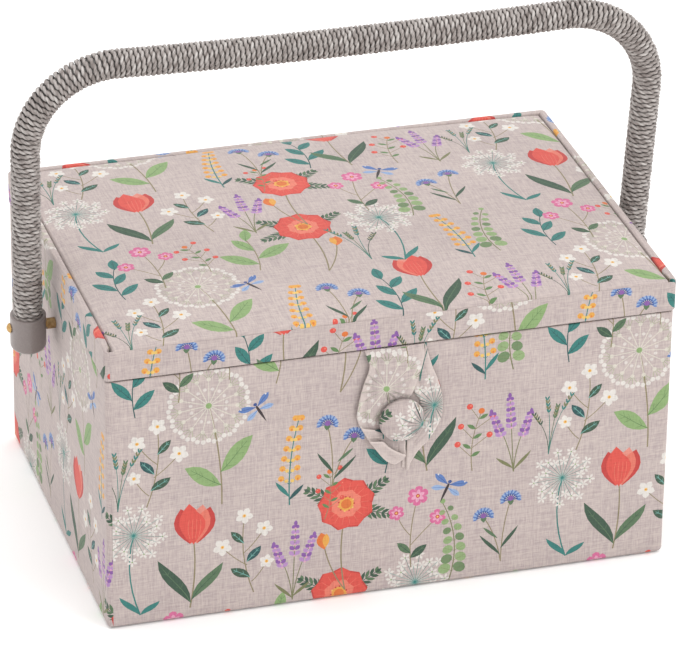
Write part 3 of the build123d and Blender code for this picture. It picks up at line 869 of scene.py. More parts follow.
def make_studio():
    bpy.context.scene.view_settings.view_transform = "Standard"
    world = bpy.data.worlds.new("studio")
    bpy.context.scene.world = world
    world.use_nodes = True
    sky = world.node_tree.nodes["Background"]
    sky.inputs["Color"].default_value = (1.0, 0.985, 0.975, 1.0)
    sky.inputs["Strength"].default_value = 1.25
    make_light("key", (1.3, -1.7, 1.9), (0, 0, 0.1), 1.2, 20.0, (1.0, 0.985, 0.97))
    make_light("top", (-0.4, 0.3, 2.4), (0, 0, 0.1), 1.4, 11.0)
    n = Nodes("floor")
    drift = n.noise((n.add("ShaderNodeTexCoord"), "Object"), (2.0, 2.0, 2.0), 1.0)
    n.link(n.ramp(drift, ((0.3, grey(0.93)), (0.7, grey(0.95)))), n.shader, "Base Color")
    n.set(n.shader, Roughness=0.9)
    wide = 40000.0
    ring = [(-wide, -wide, 0), (wide, -wide, 0), (wide, wide, 0), (-wide, wide, 0)]
    floor = build("floor", ring, [(0, 1, 2, 3)], n.material, smooth=False)


make_camera()
make_studio()

# the body's outer cloth


CORNERS = np.array([(-1, -1), (1, -1), (1, 1), (-1, 1)])
SIDES = np.array([(0, -1), (1, 0), (0, 1), (-1, 0)])


class Ring:
    """The outline of a box seen from above, followed from its front left corner to the right."""

    def __init__(self, half, middle, corner):
        self.half, self.middle, self.corner = np.array(half), np.array(middle, float), corner
        flat = 2 * (self.half - corner)
        arc = corner * math.pi / 2
        runs = [flat[0], arc, flat[1], arc, flat[0], arc, flat[1], arc]
        self.marks = np.concatenate([[0], np.cumsum(runs)])
        self.length = float(self.marks[-1])

    def at(self, u, inset):
        # Points and outward directions at u, on the outline drawn inwards by inset.
        u = np.mod(u, self.length)
        piece = np.clip(np.searchsorted(self.marks, u, side="right") - 1, 0, 7)
        share = (u - self.marks[piece]) / (self.marks[piece + 1] - self.marks[piece])
        side, bent, share = piece // 2, (piece % 2 == 1)[:, None], share[:, None]
        inset = np.broadcast_to(inset, u.shape)[:, None]
        radius = np.maximum(self.corner - inset, 0.02)
        angle = np.radians(90.0 * side - 90)[:, None] + share * math.pi / 2
        out = np.where(bent, np.hstack([np.cos(angle), np.sin(angle)]), SIDES[side])
        a, b = CORNERS[side], CORNERS[(side + 1) % 4]
        centre = np.where(bent, b, a * (1 - share) + b * share) * (self.half - inset - radius)
        x, y = (centre + out * radius + self.middle).T
        return x, y, *out.T

    def lines(self, step):
        marks = []
        for k in range(4):
            start, bend, end = self.marks[2 * k : 2 * k + 3]
            marks.extend(spread_lines([start, bend], step)[:-1])
            marks.extend(spread_lines([bend, end], self.corner / 4)[:-1])
        return np.array(marks + [self.length])


def profile_of(corners):
    # An upright profile as a smooth line: (run along the cloth, inset, height) with round bends.
    points = [np.array(corner[:2], float) for corner in corners]
    radii = [corner[2] for corner in corners]
    line = [points[0]]
    for before, here, after, radius in zip(points, points[1:], points[2:], radii[1:]):
        a, b = before - here, after - here
        a, b = a / np.linalg.norm(a), b / np.linalg.norm(b)
        half = math.acos(max(-1.0, min(1.0, float(a @ b)))) / 2
        if radius <= 0 or half > 1.56:
            line.append(here)
            continue
        back = radius / math.tan(half)
        centre = here + (a + b) / np.linalg.norm(a + b) * radius / math.sin(half)
        start, end = here + a * back - centre, here + b * back - centre
        turn = math.pi - 2 * half
        side = np.sign(start[0] * end[1] - start[1] * end[0])
        for i in range(7):
            angle = side * turn * i / 6
            c, s = math.cos(angle), math.sin(angle)
            line.append(centre + np.array([c * start[0] - s * start[1], s * start[0] + c * start[1]]))
    line.append(points[-1])
    return run_along(line), np.array(line)


BODY_RING = Ring(BODY_HALF, (0, 0), CORNER)
RIM_IN = WALL + CLOTH
SEAM_TUCK = 0.3
BASE_TURN = 14.0
body_run, body_line = profile_of(
    [
        (BASE_TURN, BODY_BASE + 0.1, 0),
        (0.0, BODY_BASE + 0.1, 2.6),
        (0.0, BODY_TOP - SEAM_TUCK, 0.9),
        (RIM_IN, BODY_TOP - SEAM_TUCK, 0.9),
        (RIM_IN, BODY_TOP - 10.0, 0),
    ]
)
# The run is measured from the foot of the wall, so the print stands on the base edge.
body_zero = BASE_TURN - BODY_BASE


def ripple(u, v, size, seed=0.0):
    # Slow unevenness of stretched cloth over board.
    wave = np.sin(u * 0.031 + seed) * np.sin(v * 0.043 + 1.3 * seed + 0.7)
    wave = wave + 0.6 * np.sin(u * 0.073 + v * 0.021 + 2.1 * seed)
    return size * wave


def place_body(flat):
    # The wall's ripple fades out towards the base edge and the rim.
    u, v = flat[:, 0], flat[:, 1] + body_zero
    inset = np.interp(v, body_run, body_line[:, 0])
    high = np.interp(v, body_run, body_line[:, 1])
    on_wall = np.clip((v - 20) / 15, 0, 1) * np.clip((body_zero + 140 - v) / 12, 0, 1)
    x, y, nx, ny = BODY_RING.at(u, inset)
    lift = ripple(u, v, 0.10) * on_wall
    return np.stack([x + nx * lift, y + ny * lift, high], 1)


body_us = BODY_RING.lines(7.0)
body_vs = spread_lines(body_run, 7.0) - body_zero
body_cloth = sheet_mesh("body_cloth", body_us, body_vs, place_body, PRINTED, (31.0, 6.0))
dress(body_cloth, "box", "outer_cover")

# the lid's band, padded panel and the foam under it

LID_PROUD = 0.25
LID_RING = Ring(LID_HALF + LID_PROUD, (0, LID_MID_Y), CORNER)
LID_HIGH = LID_TOP - LID_BASE
FOLD_Z = node_box("lid_front_board")[1][2] + CLOTH + 1.0
BAND_TURN = 6.0
lid_run, lid_line = profile_of(
    [
        (RIM_IN, BAND_TURN, 0),
        (RIM_IN, SEAM_TUCK, 0.9),
        (0.0, SEAM_TUCK, 0.9),
        (0.0, LID_HIGH, 1.4),
        (RIM_IN, LID_HIGH, 1.2),
        (RIM_IN, LID_HIGH - 5.0, 0),
    ]
)
lid_zero = BAND_TURN - SEAM_TUCK + RIM_IN - 0.8


def lid_rise_at(u):
    # 0 along the front fold and 1 round the sides and back.
    run = np.mod(u, LID_RING.length)
    front = LID_RING.marks[1]
    away = np.minimum(np.abs(run - front), LID_RING.length - run)
    away = np.where(run <= front, 0.0, away)
    return eased(away / 7.0)


def lid_height_at(u):
    # The band stands at full height round the sides and back, and lower along the front fold.
    rise = lid_rise_at(u)
    return (FOLD_Z - LID_BASE) * (1 - rise) + LID_HIGH * rise


def place_band(flat):
    u, v = flat[:, 0], flat[:, 1] + lid_zero
    inset = np.interp(v, lid_run, lid_line[:, 0])
    high = np.interp(v, lid_run, lid_line[:, 1])
    ratio = lid_height_at(u) / LID_HIGH
    share = np.clip((high - 4) / (LID_HIGH - 6), 0, 1)
    upper = v > lid_run[-1] - LID_HIGH - RIM_IN
    inset = np.where(upper, inset * (1 - 0.75 * (1 - lid_rise_at(u))), inset)
    high = high * (1 - share + share * ratio)
    x, y, nx, ny = LID_RING.at(u, inset)
    lift = ripple(u, v, 0.06, 2.0) * np.clip(1 - inset / 2, 0, 1)
    return np.stack([x + nx * lift, y + ny * lift, LID_BASE + high], 1)


band_us = LID_RING.lines(7.0)
band_vs = spread_lines(lid_run, 5.0) - lid_zero
lid_band = sheet_mesh("lid_band_cloth", band_us, band_vs, place_band, PRINTED, (-47.0, -87.0))
dress(lid_band, "lid", "lid_side_cover")

PANEL_HALF = panel_high[0] + 0.2
PANEL_FRONT = panel_low[1]
PANEL_BACK = panel_high[1] + 0.2
PANEL_EDGE = LID_TOP - 1.6
PANEL_RISE = panel_high[2] - PANEL_EDGE
SHOULDER = 16.0


def panel_height(x, y, sink=0.0):
    # The crowned top of the padded lid: round shoulders at the rims, softly full in the middle.
    shoulder = rounded((PANEL_HALF - np.abs(x)) / SHOULDER)
    crown = np.clip(1 - (x / (PANEL_HALF - 4)) ** 2, 0, 1) ** 0.8
    t = np.clip((y - PANEL_FRONT) / (PANEL_BACK - PANEL_FRONT), 0, 1)
    q = np.abs(2 * t - 1)
    rise = 0.12 + 0.88 * np.sqrt(np.clip(1 - q**3.2, 0, 1))
    puff = ripple(x, y, 0.22, 4.0) * shoulder * np.clip(4 * t, 0, 1)
    share = PANEL_RISE / 6.8
    high = rise * share * (2.6 * shoulder + 4.2 * crown)
    front = 1.0 * np.exp(-np.clip(y - PANEL_FRONT, 0, None) / 6)
    return PANEL_EDGE + high + front + puff - sink


def place_panel(flat):
    # v runs up the small front turn, then back over the pad.
    x, v = flat[:, 0], flat[:, 1]
    turn = 1.6
    y = PANEL_FRONT + np.where(v > 0, v, -0.3 * v)
    top = panel_height(x, y)
    at_edge = panel_height(x, np.full_like(x, PANEL_FRONT))
    roll = turn * (1 - rounded(v / turn))
    drop = np.where(v > 0, top - roll * 0.6, at_edge - turn * 0.6 + v)
    down = np.clip((np.abs(x) - PANEL_HALF + 1.2) / 1.2, 0, 1)
    back = np.clip((y - PANEL_BACK + 1.2) / 1.2, 0, 1)
    drop = drop - np.maximum(3.4 * down**2, 1.1 * back**2)
    return np.stack([x, y, drop], 1)


panel_us = np.concatenate(
    [[-PANEL_HALF, -PANEL_HALF + 0.4, -PANEL_HALF + 0.9, -PANEL_HALF + 2],
     spread_lines([-PANEL_HALF + 4, -PANEL_HALF + 18], 2.5)[:-1],
     spread_lines([-PANEL_HALF + 18, PANEL_HALF - 18], 7.0),
     spread_lines([PANEL_HALF - 18, PANEL_HALF - 4], 2.5)[1:],
     [PANEL_HALF - 2, PANEL_HALF - 0.9, PANEL_HALF - 0.4, PANEL_HALF]]
)
panel_deep = PANEL_BACK - PANEL_FRONT
FRONT_TURN = 1.2
panel_vs = np.concatenate(
    [[-FRONT_TURN, 0, 0.4, 0.8, 1.2, 1.6, 2.4, 3.6],
     spread_lines([5, 26], 3.0)[:-1],
     spread_lines([26, panel_deep - 24], 7.0),
     spread_lines([panel_deep - 24, panel_deep - 4], 3.0)[1:],
     [panel_deep - 2.2, panel_deep - 0.9, panel_deep - 0.4, panel_deep]]
)
lid_panel = sheet_mesh("lid_panel_cloth", panel_us, panel_vs, place_panel, PRINTED, (-118.0, -71.0))
dress(lid_panel, "lid", "lid_top_cover")

lid_foam = closed_pad(
    "lid_foam",
    np.linspace(foam_low[0] + 0.3, foam_high[0] - 0.3, 48),
    np.linspace(foam_low[1] + 2.0, foam_high[1] - 0.3, 36),
    lambda x, y: np.maximum(panel_height(x, y, 1.2), foam_low[2] + 1.0),
    foam_low[2] + 0.1,
    FOAM,
)
dress(lid_foam, "lid", "lid_pad")

# the covered button

BUTTON = np.array([(button_low[0] + button_high[0]) / 2, (button_low[2] + button_high[2]) / 2])
BUTTON_R = (button_high[0] - button_low[0]) / 2
BUTTON_BACK = button_high[1]
BUTTON_TALL = button_high[1] - button_low[1]


def button_profile():
    # Distance from the axis and height over the back, from the middle of the dome outwards.
    t = np.linspace(0, 1, 24)
    radius = BUTTON_R - 1.1
    line = [(radius * x, BUTTON_TALL - 4.3 * x * x) for x in t]
    for i in range(1, 9):
        a = math.radians(35 + i * 145 / 8)
        line.append((radius - 1.0 + 2.1 * math.sin(a), BUTTON_TALL - 5.9 + 2.0 * math.cos(a)))
    line.append((BUTTON_R - 3.4, BUTTON_TALL - 7.55))
    return run_along(line), np.array(line)


button_run, button_line = button_profile()
BUTTON_REACH = button_run[-1]


def place_button(flat):
    far = np.linalg.norm(flat, axis=1)
    angle = np.arctan2(flat[:, 1], flat[:, 0])
    radius = np.interp(far, button_run, button_line[:, 0])
    high = np.interp(far, button_run, button_line[:, 1])
    hem = np.clip((far - BUTTON_REACH + 6) / 6, 0, 1) ** 2
    pleat = np.sin(angle * 22 + np.sin(angle * 3)) * hem
    radius = radius + 0.22 * pleat
    x = BUTTON[0] + radius * np.cos(angle)
    z = BUTTON[1] + radius * np.sin(angle)
    return np.stack([x, BUTTON_BACK - high, z], 1)


def round_sheet(name, reach, place, material, shift):
    turn = np.arange(64) / 64 * 2 * math.pi
    outline = np.stack([np.cos(turn), np.sin(turn)], 1) * reach
    grid = [(0.0, 0.0)]
    rings = 10
    for i in range(1, rings):
        count = max(8, int(28 * i / rings * 2))
        for k in range(count):
            a = (k + 0.5 * (i % 2)) / count * 2 * math.pi
            grid.append((reach * i / rings * math.cos(a), reach * i / rings * math.sin(a)))
    flat, faces, ink = cut(outline, grid, printed((-reach, -reach), (reach, reach), shift))
    return build(name, place(flat), faces, material, flat, ink, normals_of(place, flat))


button_cloth = round_sheet("button_cloth", BUTTON_REACH, place_button, PRINTED, (-128.0, -180.0))
dress(button_cloth, "box", "button_dome")

# the loop: one folded band, its right arm lowest, its left arm over it, the lower flap on top

LOOP_TOP = loop_high[2]
LOOP_HALF = (loop_high[0] - loop_low[0]) / 2
LOOP_LONG = loop_high[2] - loop_low[2]
LOOP_BACK = loop_high[1]
LOOP_MID = (loop_high[0] + loop_low[0]) / 2
STITCH_IN = 4.3
ROUND_RIM = 1.1
RIM_STEP = 1.1
INNER_STEP = 1.6


def smooth_through(points):
    # A curve through every point given, in four steps from each to the next.
    first = 2 * points[0] - points[1]
    last = 2 * points[-1] - points[-2]
    padded = np.concatenate([[first], points, [last]])
    line = []
    for p0, p1, p2, p3 in zip(padded, padded[1:], padded[2:], padded[3:]):
        for t in (0.0, 0.25, 0.5, 0.75):
            square = (2 * p0 - 5 * p1 + 4 * p2 - p3) * t * t
            cube = (3 * p1 - p0 - 3 * p2 + p3) * t**3
            line.append(0.5 * (2 * p1 + (p2 - p0) * t + square + cube))
    line.append(padded[-2])
    return np.array(line)


def shares(points):
    points = np.array(points, float)
    return np.stack([LOOP_MID + LOOP_HALF * points[:, 0], LOOP_TOP - LOOP_LONG * points[:, 1]], 1)


def resampled(ring, step):
    ring = np.concatenate([ring, ring[:1]])
    run = run_along(ring)
    n = max(8, int(run[-1] / step))
    at = np.arange(n) / n * run[-1]
    return np.stack([np.interp(at, run, ring[:, k]) for k in range(2)], 1)


def rows_inside(ring, depths):
    # Points that follow a ring's edge, at each depth inside it.
    ahead = np.roll(ring, -1, 0) - np.roll(ring, 1, 0)
    turned = np.stack([-ahead[:, 1], ahead[:, 0]], 1)
    turned /= np.maximum(np.linalg.norm(turned, axis=1, keepdims=True), 1e-9)
    area = np.sum(ring[:, 0] * np.roll(ring[:, 1], -1) - ring[:, 1] * np.roll(ring[:, 0], -1))
    rows = []
    for depth in depths:
        row = ring + turned * depth * np.sign(area)
        row = row[inside(row, ring)]
        rows.append(row[distance_to(row, ring) > 0.85 * depth])
    return np.concatenate(rows)


def folded_layer(rim, base, thick, shift):
    # One layer of the folded band, like a tube pressed flat: round along its rim and stitched
    # inside it. It comes out of the seam at the top, and the button presses on it.
    ring = resampled(rim, RIM_STEP)
    low, high = ring.min(0), ring.max(0)
    across, up = (np.arange(low[k] + 1, high[k], INNER_STEP) for k in range(2))
    grid = lattice(across, up)
    grid = grid[inside(grid, ring)]
    grid = grid[distance_to(grid, ring) > STITCH_IN + 1.2]
    depths = [0.25, 0.6, 1.1, 1.9, 2.8] + [STITCH_IN + off for off in (-0.4, 0.0, 0.4, 1.1)]
    grid = np.concatenate([rows_inside(ring, depths), grid])
    flat, faces, ink = cut(ring, grid, printed(low, high, shift))
    away = distance_to_path(flat, rim)
    pressed = under_button(flat)
    out = eased((LOOP_TOP - flat[:, 1]) / 4.0)
    bulge = rounded(away / ROUND_RIM)
    half = thick / 2 * (1 - 0.62 * pressed) * (0.3 + 0.7 * out)
    seam = fading(away - STITCH_IN, 0.35) * (1 - pressed) * out
    puff = 0.6 * eased((away - STITCH_IN) / 6) * (1 - pressed)
    middle = base(flat) * (1 - 0.6 * pressed) * (0.15 + 0.85 * out) + half - LOOP_BACK
    front = middle + 0.06 + half * bulge - 0.32 * seam + puff
    back = middle - 0.06 - 0.9 * half * bulge
    count = len(flat)
    directed = np.concatenate([faces[:, [0, 1]], faces[:, [1, 2]], faces[:, [2, 0]]])
    _, first, uses = np.unique(np.sort(directed, axis=1), axis=0, return_index=True, return_counts=True)
    edge = directed[first[uses == 1]]
    walls = [(b, a, a + count, b + count) for a, b in edge]
    polygons = [tuple(f) for f in faces] + [tuple(f[::-1] + count) for f in faces] + walls
    colours = np.concatenate([ink, ink, np.zeros((len(walls), 4))])
    # Painted highlight: the rounded rim and the strip out to the stitch line are made paler, except where the
    # button presses the band flat and near the seam.
    hem = 1 - eased((away - STITCH_IN + 1.0) / 0.9)
    edge_highlight = (0.6 * fading(away, 0.8) + 0.4 * hem) * (1 - pressed) * out
    drawn = np.column_stack([flat, edge_highlight])
    points = [np.stack([flat[:, 0], -side, flat[:, 1]], 1) for side in (front, back)]
    return np.concatenate(points), polygons, np.concatenate([drawn, drawn]), colours


def join_layers(name, layers, material):
    points, faces, flats, inks, start = [], [], [], [], 0
    for p, f, uv, ink in layers:
        points.append(p)
        faces.extend(tuple(int(i) + start for i in face) for face in f)
        flats.append(uv)
        inks.append(ink)
        start += len(p)
    return build(name, np.concatenate(points), faces, material, np.concatenate(flats), np.concatenate(inks))


# Shares of the loop's half width and of its length, followed round each layer.
fold_edge = [(-1.001, 0.496), (-0.967, 0.561), (-0.904, 0.612), (-0.744, 0.711), (-0.569, 0.797)]
foot_edge = [(-0.374, 0.885), (-0.219, 0.927), (-0.113, 0.942), (0.048, 0.912), (0.146, 0.877)]
flap_edge = [(-0.923, 0.6), (-0.73, 0.619), (-0.577, 0.632), (-0.424, 0.648), (-0.097, 0.692), (0.117, 0.73)]
lip_edge = [
    (-0.744, 0.711), (-0.583, 0.718), (-0.42, 0.727), (-0.303, 0.769), (-0.149, 0.811), (0.006, 0.841),
]
left_edge = [
    (-0.826, -0.004), (-0.777, 0.074), (-0.729, 0.103), (-0.758, 0.173), (-0.816, 0.219),
    (-0.923, 0.344),
]
cross_edge = [
    (0.097, 0.721), (0.097, 0.576), (0.174, 0.426), (0.258, 0.362), (0.373, 0.249), (0.464, 0.147),
    (0.525, -0.004),
]
inner_edge = [
    (0.097, -0.004), (0.194, 0.238), (0.275, 0.349), (0.35, 0.402), (0.447, 0.46), (0.437, 0.624),
    (0.16, 0.76),
]
right_edge = [(0.26, 0.95), (0.446, 0.856), (0.689, 0.772), (0.892, 0.658), (0.972, 0.561), (0.957, 0.441)]
right_top = [(0.86, 0.308), (0.702, 0.171), (0.554, -0.004)]


def outline(*runs):
    return np.concatenate([smooth_through(shares(run)) for run in runs])


right_rim = outline(inner_edge, [(0.16, 0.76), (0.165, 1.003), (0.228, 1.001)], right_edge + right_top)
left_rim = outline(left_edge + fold_edge[:4], cross_edge)
flap_end = [(0.117, 0.74), (0.151, 0.875)]
flap_rim = outline(flap_edge, flap_end, foot_edge[::-1], fold_edge[:1:-1] + flap_edge[:1])
lip_rim = outline(lip_edge + [(0.141, 0.871)], foot_edge[-2::-1] + [fold_edge[-1], lip_edge[0]])
gap_rim = shares([(0.1, 0.27), (0.48, 0.3), (0.55, 0.62), (0.1, 0.62), (0.1, 0.27)])
under_rim = shares([(0.083, 0.856), (0.083, 0.996), (0.194, 0.999), (0.194, 0.856), (0.083, 0.856)])


def under_button(flat):
    # 1 where the button presses the band flat, falling away outside its edge.
    far = np.linalg.norm(flat - BUTTON, axis=1)
    return 1 - eased((far - BUTTON_R + 1.0) / 5.0)


def near_flap(flat, reach):
    return fading(distance_to_path(flat, shares(flap_edge)), reach)


def left_base(flat):
    # The left arm rises as it crosses over the right one, and dips into the fold above the flap.
    over = eased((flat[:, 0] - BUTTON[0] + 16) / 12)
    return (1.3 + 1.1 * over) * (1 - 0.7 * near_flap(flat, 6.0))


def flap_base(flat):
    # The flap leans on the wall at its foot and stands off at its upper edge.
    return 0.7 + 2.2 * near_flap(flat, 4.0)


def lip_base(flat):
    # The flap's front cloth stands open like a pocket under the button.
    return 2.2 + 2.1 * fading(distance_to_path(flat, shares(lip_edge)), 3.5)


def level(height):
    return lambda flat: np.full(len(flat), height)


loop_layers = [
    folded_layer(under_rim, level(0.05), 0.4, None),
    folded_layer(gap_rim, level(0.05), 0.4, None),
    folded_layer(right_rim, level(0.5), 1.6, (-202.0, 65.0)),
    folded_layer(left_rim, left_base, 1.5, (-28.0, 6.0)),
    folded_layer(flap_rim, flap_base, 1.1, (60.0, -20.0)),
    folded_layer(lip_rim, lip_base, 0.9, (60.0, -20.0)),
]
loop_cloth = join_layers("loop_cloth", loop_layers, PRINTED)
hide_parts("button_loop")
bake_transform(loop_cloth)

# the hinge cloth across the back seam


def place_hinge(flat):
    x, v = flat[:, 0], flat[:, 1]
    seam = (hinge_low[2] + hinge_high[2]) / 2
    swell = 0.35 * fading(v - seam, 2.2)
    edge = np.minimum(v - hinge_low[2], hinge_high[2] - v)
    tuck = 0.35 * np.clip(1 - edge / 0.8, 0, 1) ** 2
    return np.stack([-x, hinge_high[1] - 0.15 + swell - tuck, v], 1)


hinge_us = np.linspace(hinge_low[0], hinge_high[0], 61)
hinge_vs = spread_lines([hinge_low[2], hinge_low[2] + 1, hinge_high[2] - 1, hinge_high[2]], 1.4)
hinge_cloth = sheet_mesh("hinge_strip", hinge_us, hinge_vs, place_hinge, PRINTED, (12.0, 40.0))
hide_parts("hinge_cloth")
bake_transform(hinge_cloth)

# the wound handle

# In the handle's own plane: the radius of its bends, the sag of its bar, the rise of the bar over
# the pivot and the splay of its legs. The plane leans back by LEAN degrees.
BEND_R = 49.3
SAG = 2.0
RISE = 160.4
SPLAY = math.radians(1.1)
LEAN = 5.6
CAP_R = 10.0
FIT_GAP = 0.3
SPAN = node_box("right_spacer")[1][0] + FIT_GAP + CAP_R
LEG = (RISE - BEND_R - BEND_R * math.sin(SPLAY)) / math.cos(SPLAY)
HALF_BAR = SPAN + LEG * math.sin(SPLAY) - BEND_R * math.cos(SPLAY)
WRAP_R = wrap_high[0] - HALF_BAR - BEND_R
CORD_R = 1.45
PITCH = 2.9
PLY_TWIST = 8.4
STEP = 0.85
PLY_SECTION = (1.0, 0.9, 0.48, 0.9, 1.0, 0.9, 0.48, 0.9)


def arc_points(x, z, radius, start, end, count):
    angles = np.radians(np.linspace(start, end, count))
    return [(x + radius * math.cos(a), z + radius * math.sin(a)) for a in angles]


def handle_centreline():
    # Points along the handle's middle in its own plane: across, and up from the pivot.
    turn = 2 * math.atan(SAG / HALF_BAR)
    centre = RISE - BEND_R
    join_x = HALF_BAR - BEND_R * math.sin(turn)
    join_z = centre + BEND_R * math.cos(turn)
    sag_radius = join_x / math.sin(turn)
    splay, past = math.degrees(SPLAY), math.degrees(turn)
    leg = [(SPAN + d * math.sin(SPLAY), d * math.cos(SPLAY)) for d in np.linspace(LEG, -4, 60)]
    corner = arc_points(HALF_BAR, centre, BEND_R, 90 + past, -splay, 70)
    bar = arc_points(0, join_z + sag_radius * math.cos(turn), sag_radius, -90, -90 + past, 45)
    right = bar[:-1] + corner[:-1] + leg
    left = [(-x, z) for x, z in right[:0:-1]]
    return np.array(left + right)


handle_line = handle_centreline()
handle_run = run_along(handle_line)
handle_ahead = np.gradient(handle_line, handle_run, axis=0)
handle_ahead /= np.linalg.norm(handle_ahead, axis=1, keepdims=True)
LEAN_COS, LEAN_SIN = math.cos(math.radians(LEAN)), math.sin(math.radians(LEAN))


def handle_frame(run):
    # Middle, direction along, in-plane outward direction and sideways direction.
    p = np.stack([np.interp(run, handle_run, handle_line[:, k]) for k in range(2)], 1)
    t = np.stack([np.interp(run, handle_run, handle_ahead[:, k]) for k in range(2)], 1)
    t /= np.linalg.norm(t, axis=1, keepdims=True)
    up = np.array([0, -LEAN_SIN, LEAN_COS])
    right = np.array([1.0, 0, 0])
    middle = PIVOT + p[:, :1] * right + p[:, 1:] * up
    along = t[:, :1] * right + t[:, 1:] * up
    out = -t[:, 1:] * right + t[:, :1] * up
    side = np.cross(along, out)
    return middle, along, out, side


def wound_cord(name, start, end):
    # One stretch of the two-ply cord, wound tight round the handle.
    wind = WRAP_R - CORD_R * 0.75
    count = int((end - start) / PITCH * 2 * math.pi * wind / STEP)
    run = start + (end - start) * np.linspace(0, 1, count)
    angle = run / PITCH * 2 * math.pi
    middle, along, out, side = handle_frame(run)
    c, s = np.cos(angle)[:, None], np.sin(angle)[:, None]
    radial = out * c + side * s
    tangent = (-out * s + side * c) * (2 * math.pi * wind) + along * PITCH
    tangent /= np.linalg.norm(tangent, axis=1, keepdims=True)
    flank = np.cross(tangent, radial)
    centre = middle + radial * wind
    travel = run / PITCH * 2 * math.pi * wind
    twist = travel / PLY_TWIST * 2 * math.pi
    points, flat = [], []
    for k, size in enumerate(PLY_SECTION):
        a = twist + k * math.pi / 4
        out_by, side_by = np.cos(a) * size, np.sin(a) * size
        points.append(centre + CORD_R * (radial * out_by[:, None] + flank * side_by[:, None] * 1.04))
        # Painted shade: how far each point faces away from the outside, which darkens it in the cord's
        # material.
        groove_shade = np.clip(0.8 - out_by, 0, 1)
        flat.append(np.stack([travel, np.full(count, k * 1.1), groove_shade], 1))
    points = np.stack(points, 1).reshape(-1, 3)
    flat = np.stack(flat, 1).reshape(-1, 3)
    faces = grid_faces(8, count, closed=True, flip=True)
    faces.append(tuple(range(8)))
    faces.append(tuple(range(len(points) - 1, len(points) - 9, -1)))
    dress(build(name, points, faces, CORD, flat), "handle", "handle_wrap")


cap_mouth = cap_high[2] - PIVOT[2]
CORD_TUCK = 3.0
first_run = cap_mouth - CORD_TUCK
last_run = handle_run[-1] - first_run
third = (last_run - first_run) / 3
for number, name in enumerate(("cord_left", "cord_bar", "cord_right")):
    wound_cord(name, first_run + third * number, first_run + third * (number + 1))

# inside the box and under the lid


def place_lining(flat):
    # v runs downwards, so the cloth's face is towards the inside.
    u, v = flat[:, 0], -flat[:, 1]
    inset = RIM_IN - 0.02 + 0.10 * np.sin(u * 0.21) * np.sin(v * 0.05)
    x, y, _, _ = BODY_RING.at(u, inset)
    return np.stack([x, y, v], 1)


lining_us = BODY_RING.lines(9.0)
lining_vs = spread_lines([lining_low[2], lining_high[2]], 12.0)
wall_lining = sheet_mesh("wall_lining_cloth", lining_us, -lining_vs[::-1], place_lining, LINING)
dress(wall_lining, "box", "wall_lining")


def floor_top(x, y):
    # The floor pad's height as a share of its full height: a round edge and a shallow crown.
    mid = (floor_low + floor_high) / 2
    half = (floor_high - floor_low) / 2
    edge = rounded((half[0] - np.abs(x - mid[0])) / 5.0) * rounded((half[1] - np.abs(y - mid[1])) / 5.0)
    dome = (1 - ((x - mid[0]) / half[0]) ** 2) * (1 - ((y - mid[1]) / half[1]) ** 2)
    return edge * 0.75 + 0.25 * np.clip(dome, 0, 1)


def pad_lines(low, high, count):
    # Lines across the floor pad, close together at its round edges.
    near = np.array([0.2, 0.8, 2, 4])
    return np.concatenate([low + near, np.linspace(low + 8, high - 8, count), high - near[::-1]])


floor_tall = floor_high[2] - floor_low[2]
floor_cushion = closed_pad(
    "floor_cushion",
    pad_lines(floor_low[0], floor_high[0], 44),
    pad_lines(floor_low[1], floor_high[1], 30),
    lambda x, y: floor_low[2] + 0.6 + (floor_tall - 0.6) * floor_top(x, y) + ripple(x, y, 0.12, 1.0),
    floor_low[2],
    LINING,
)
dress(floor_cushion, "box", "floor_pad")

# The lining under the lid: a flat sheet that turns down at the skirt.

LINING_Z = lid_lining_high[2]
lid_in_half = np.array([lid_lining_high[0] - 0.3, (lid_lining_high[1] - lid_lining_low[1]) / 2 - 0.3])
lid_in_ring = Ring(lid_in_half, (0, (lid_lining_high[1] + lid_lining_low[1]) / 2), 2.0)
lid_in_deep = lid_lining_high[2] - lid_lining_low[2]


def lid_lining_mesh():
    us = lid_in_ring.lines(8.0)[:-1]
    rows = ((0.0, 0.0), (0.0, 0.3), (0.0, 0.6), (0.0, 0.9), (0.5, 1.0), (1.5, 1.0))
    points, flat = [], []
    for inset, share in rows:
        x, y, _, _ = lid_in_ring.at(us, np.full_like(us, inset))
        z = lid_lining_low[2] + lid_in_deep * share - (0.6 if share == 1 else 0)
        points.append(np.stack([x, y, np.full_like(x, z)], 1))
        flat.append(np.stack([us, np.full_like(us, share * lid_in_deep + inset)], 1))
    points, flat = np.concatenate(points), np.concatenate(flat)
    n = len(us)
    faces = grid_faces(n, len(rows), closed=True, flip=True)
    start = (len(rows) - 1) * n
    edge = points[start : start + n, :2]
    inner_low, inner_high = edge.min(0) + 6, edge.max(0) - 6
    grid = lattice(np.linspace(inner_low[0], inner_high[0], 40), np.linspace(inner_low[1], inner_high[1], 28))
    flat_points, flat_faces, _ = cut(edge, grid, [])
    z = np.full(len(flat_points), LINING_Z - 0.6) + ripple(flat_points[:, 0], flat_points[:, 1], 0.1, 3.0)
    near = distance_to(flat_points, edge)
    z = np.where(near < 1e-3, LINING_Z - 0.6, z)
    offset = len(points)
    points = np.concatenate([points, np.column_stack([flat_points, z])])
    flat = np.concatenate([flat, flat_points])
    faces += [tuple(int(i) + offset for i in face[::-1]) for face in flat_faces]
    return build("lid_lining_cloth", points, faces, LINING, flat)


lid_lining = lid_lining_mesh()
dress(lid_lining, "lid", "lid_lining")

cushion_tall = cushion_high[2] - cushion_low[2]
cushion_mid = (cushion_low + cushion_high) / 2
cushion_half = (cushion_high - cushion_low) / 2


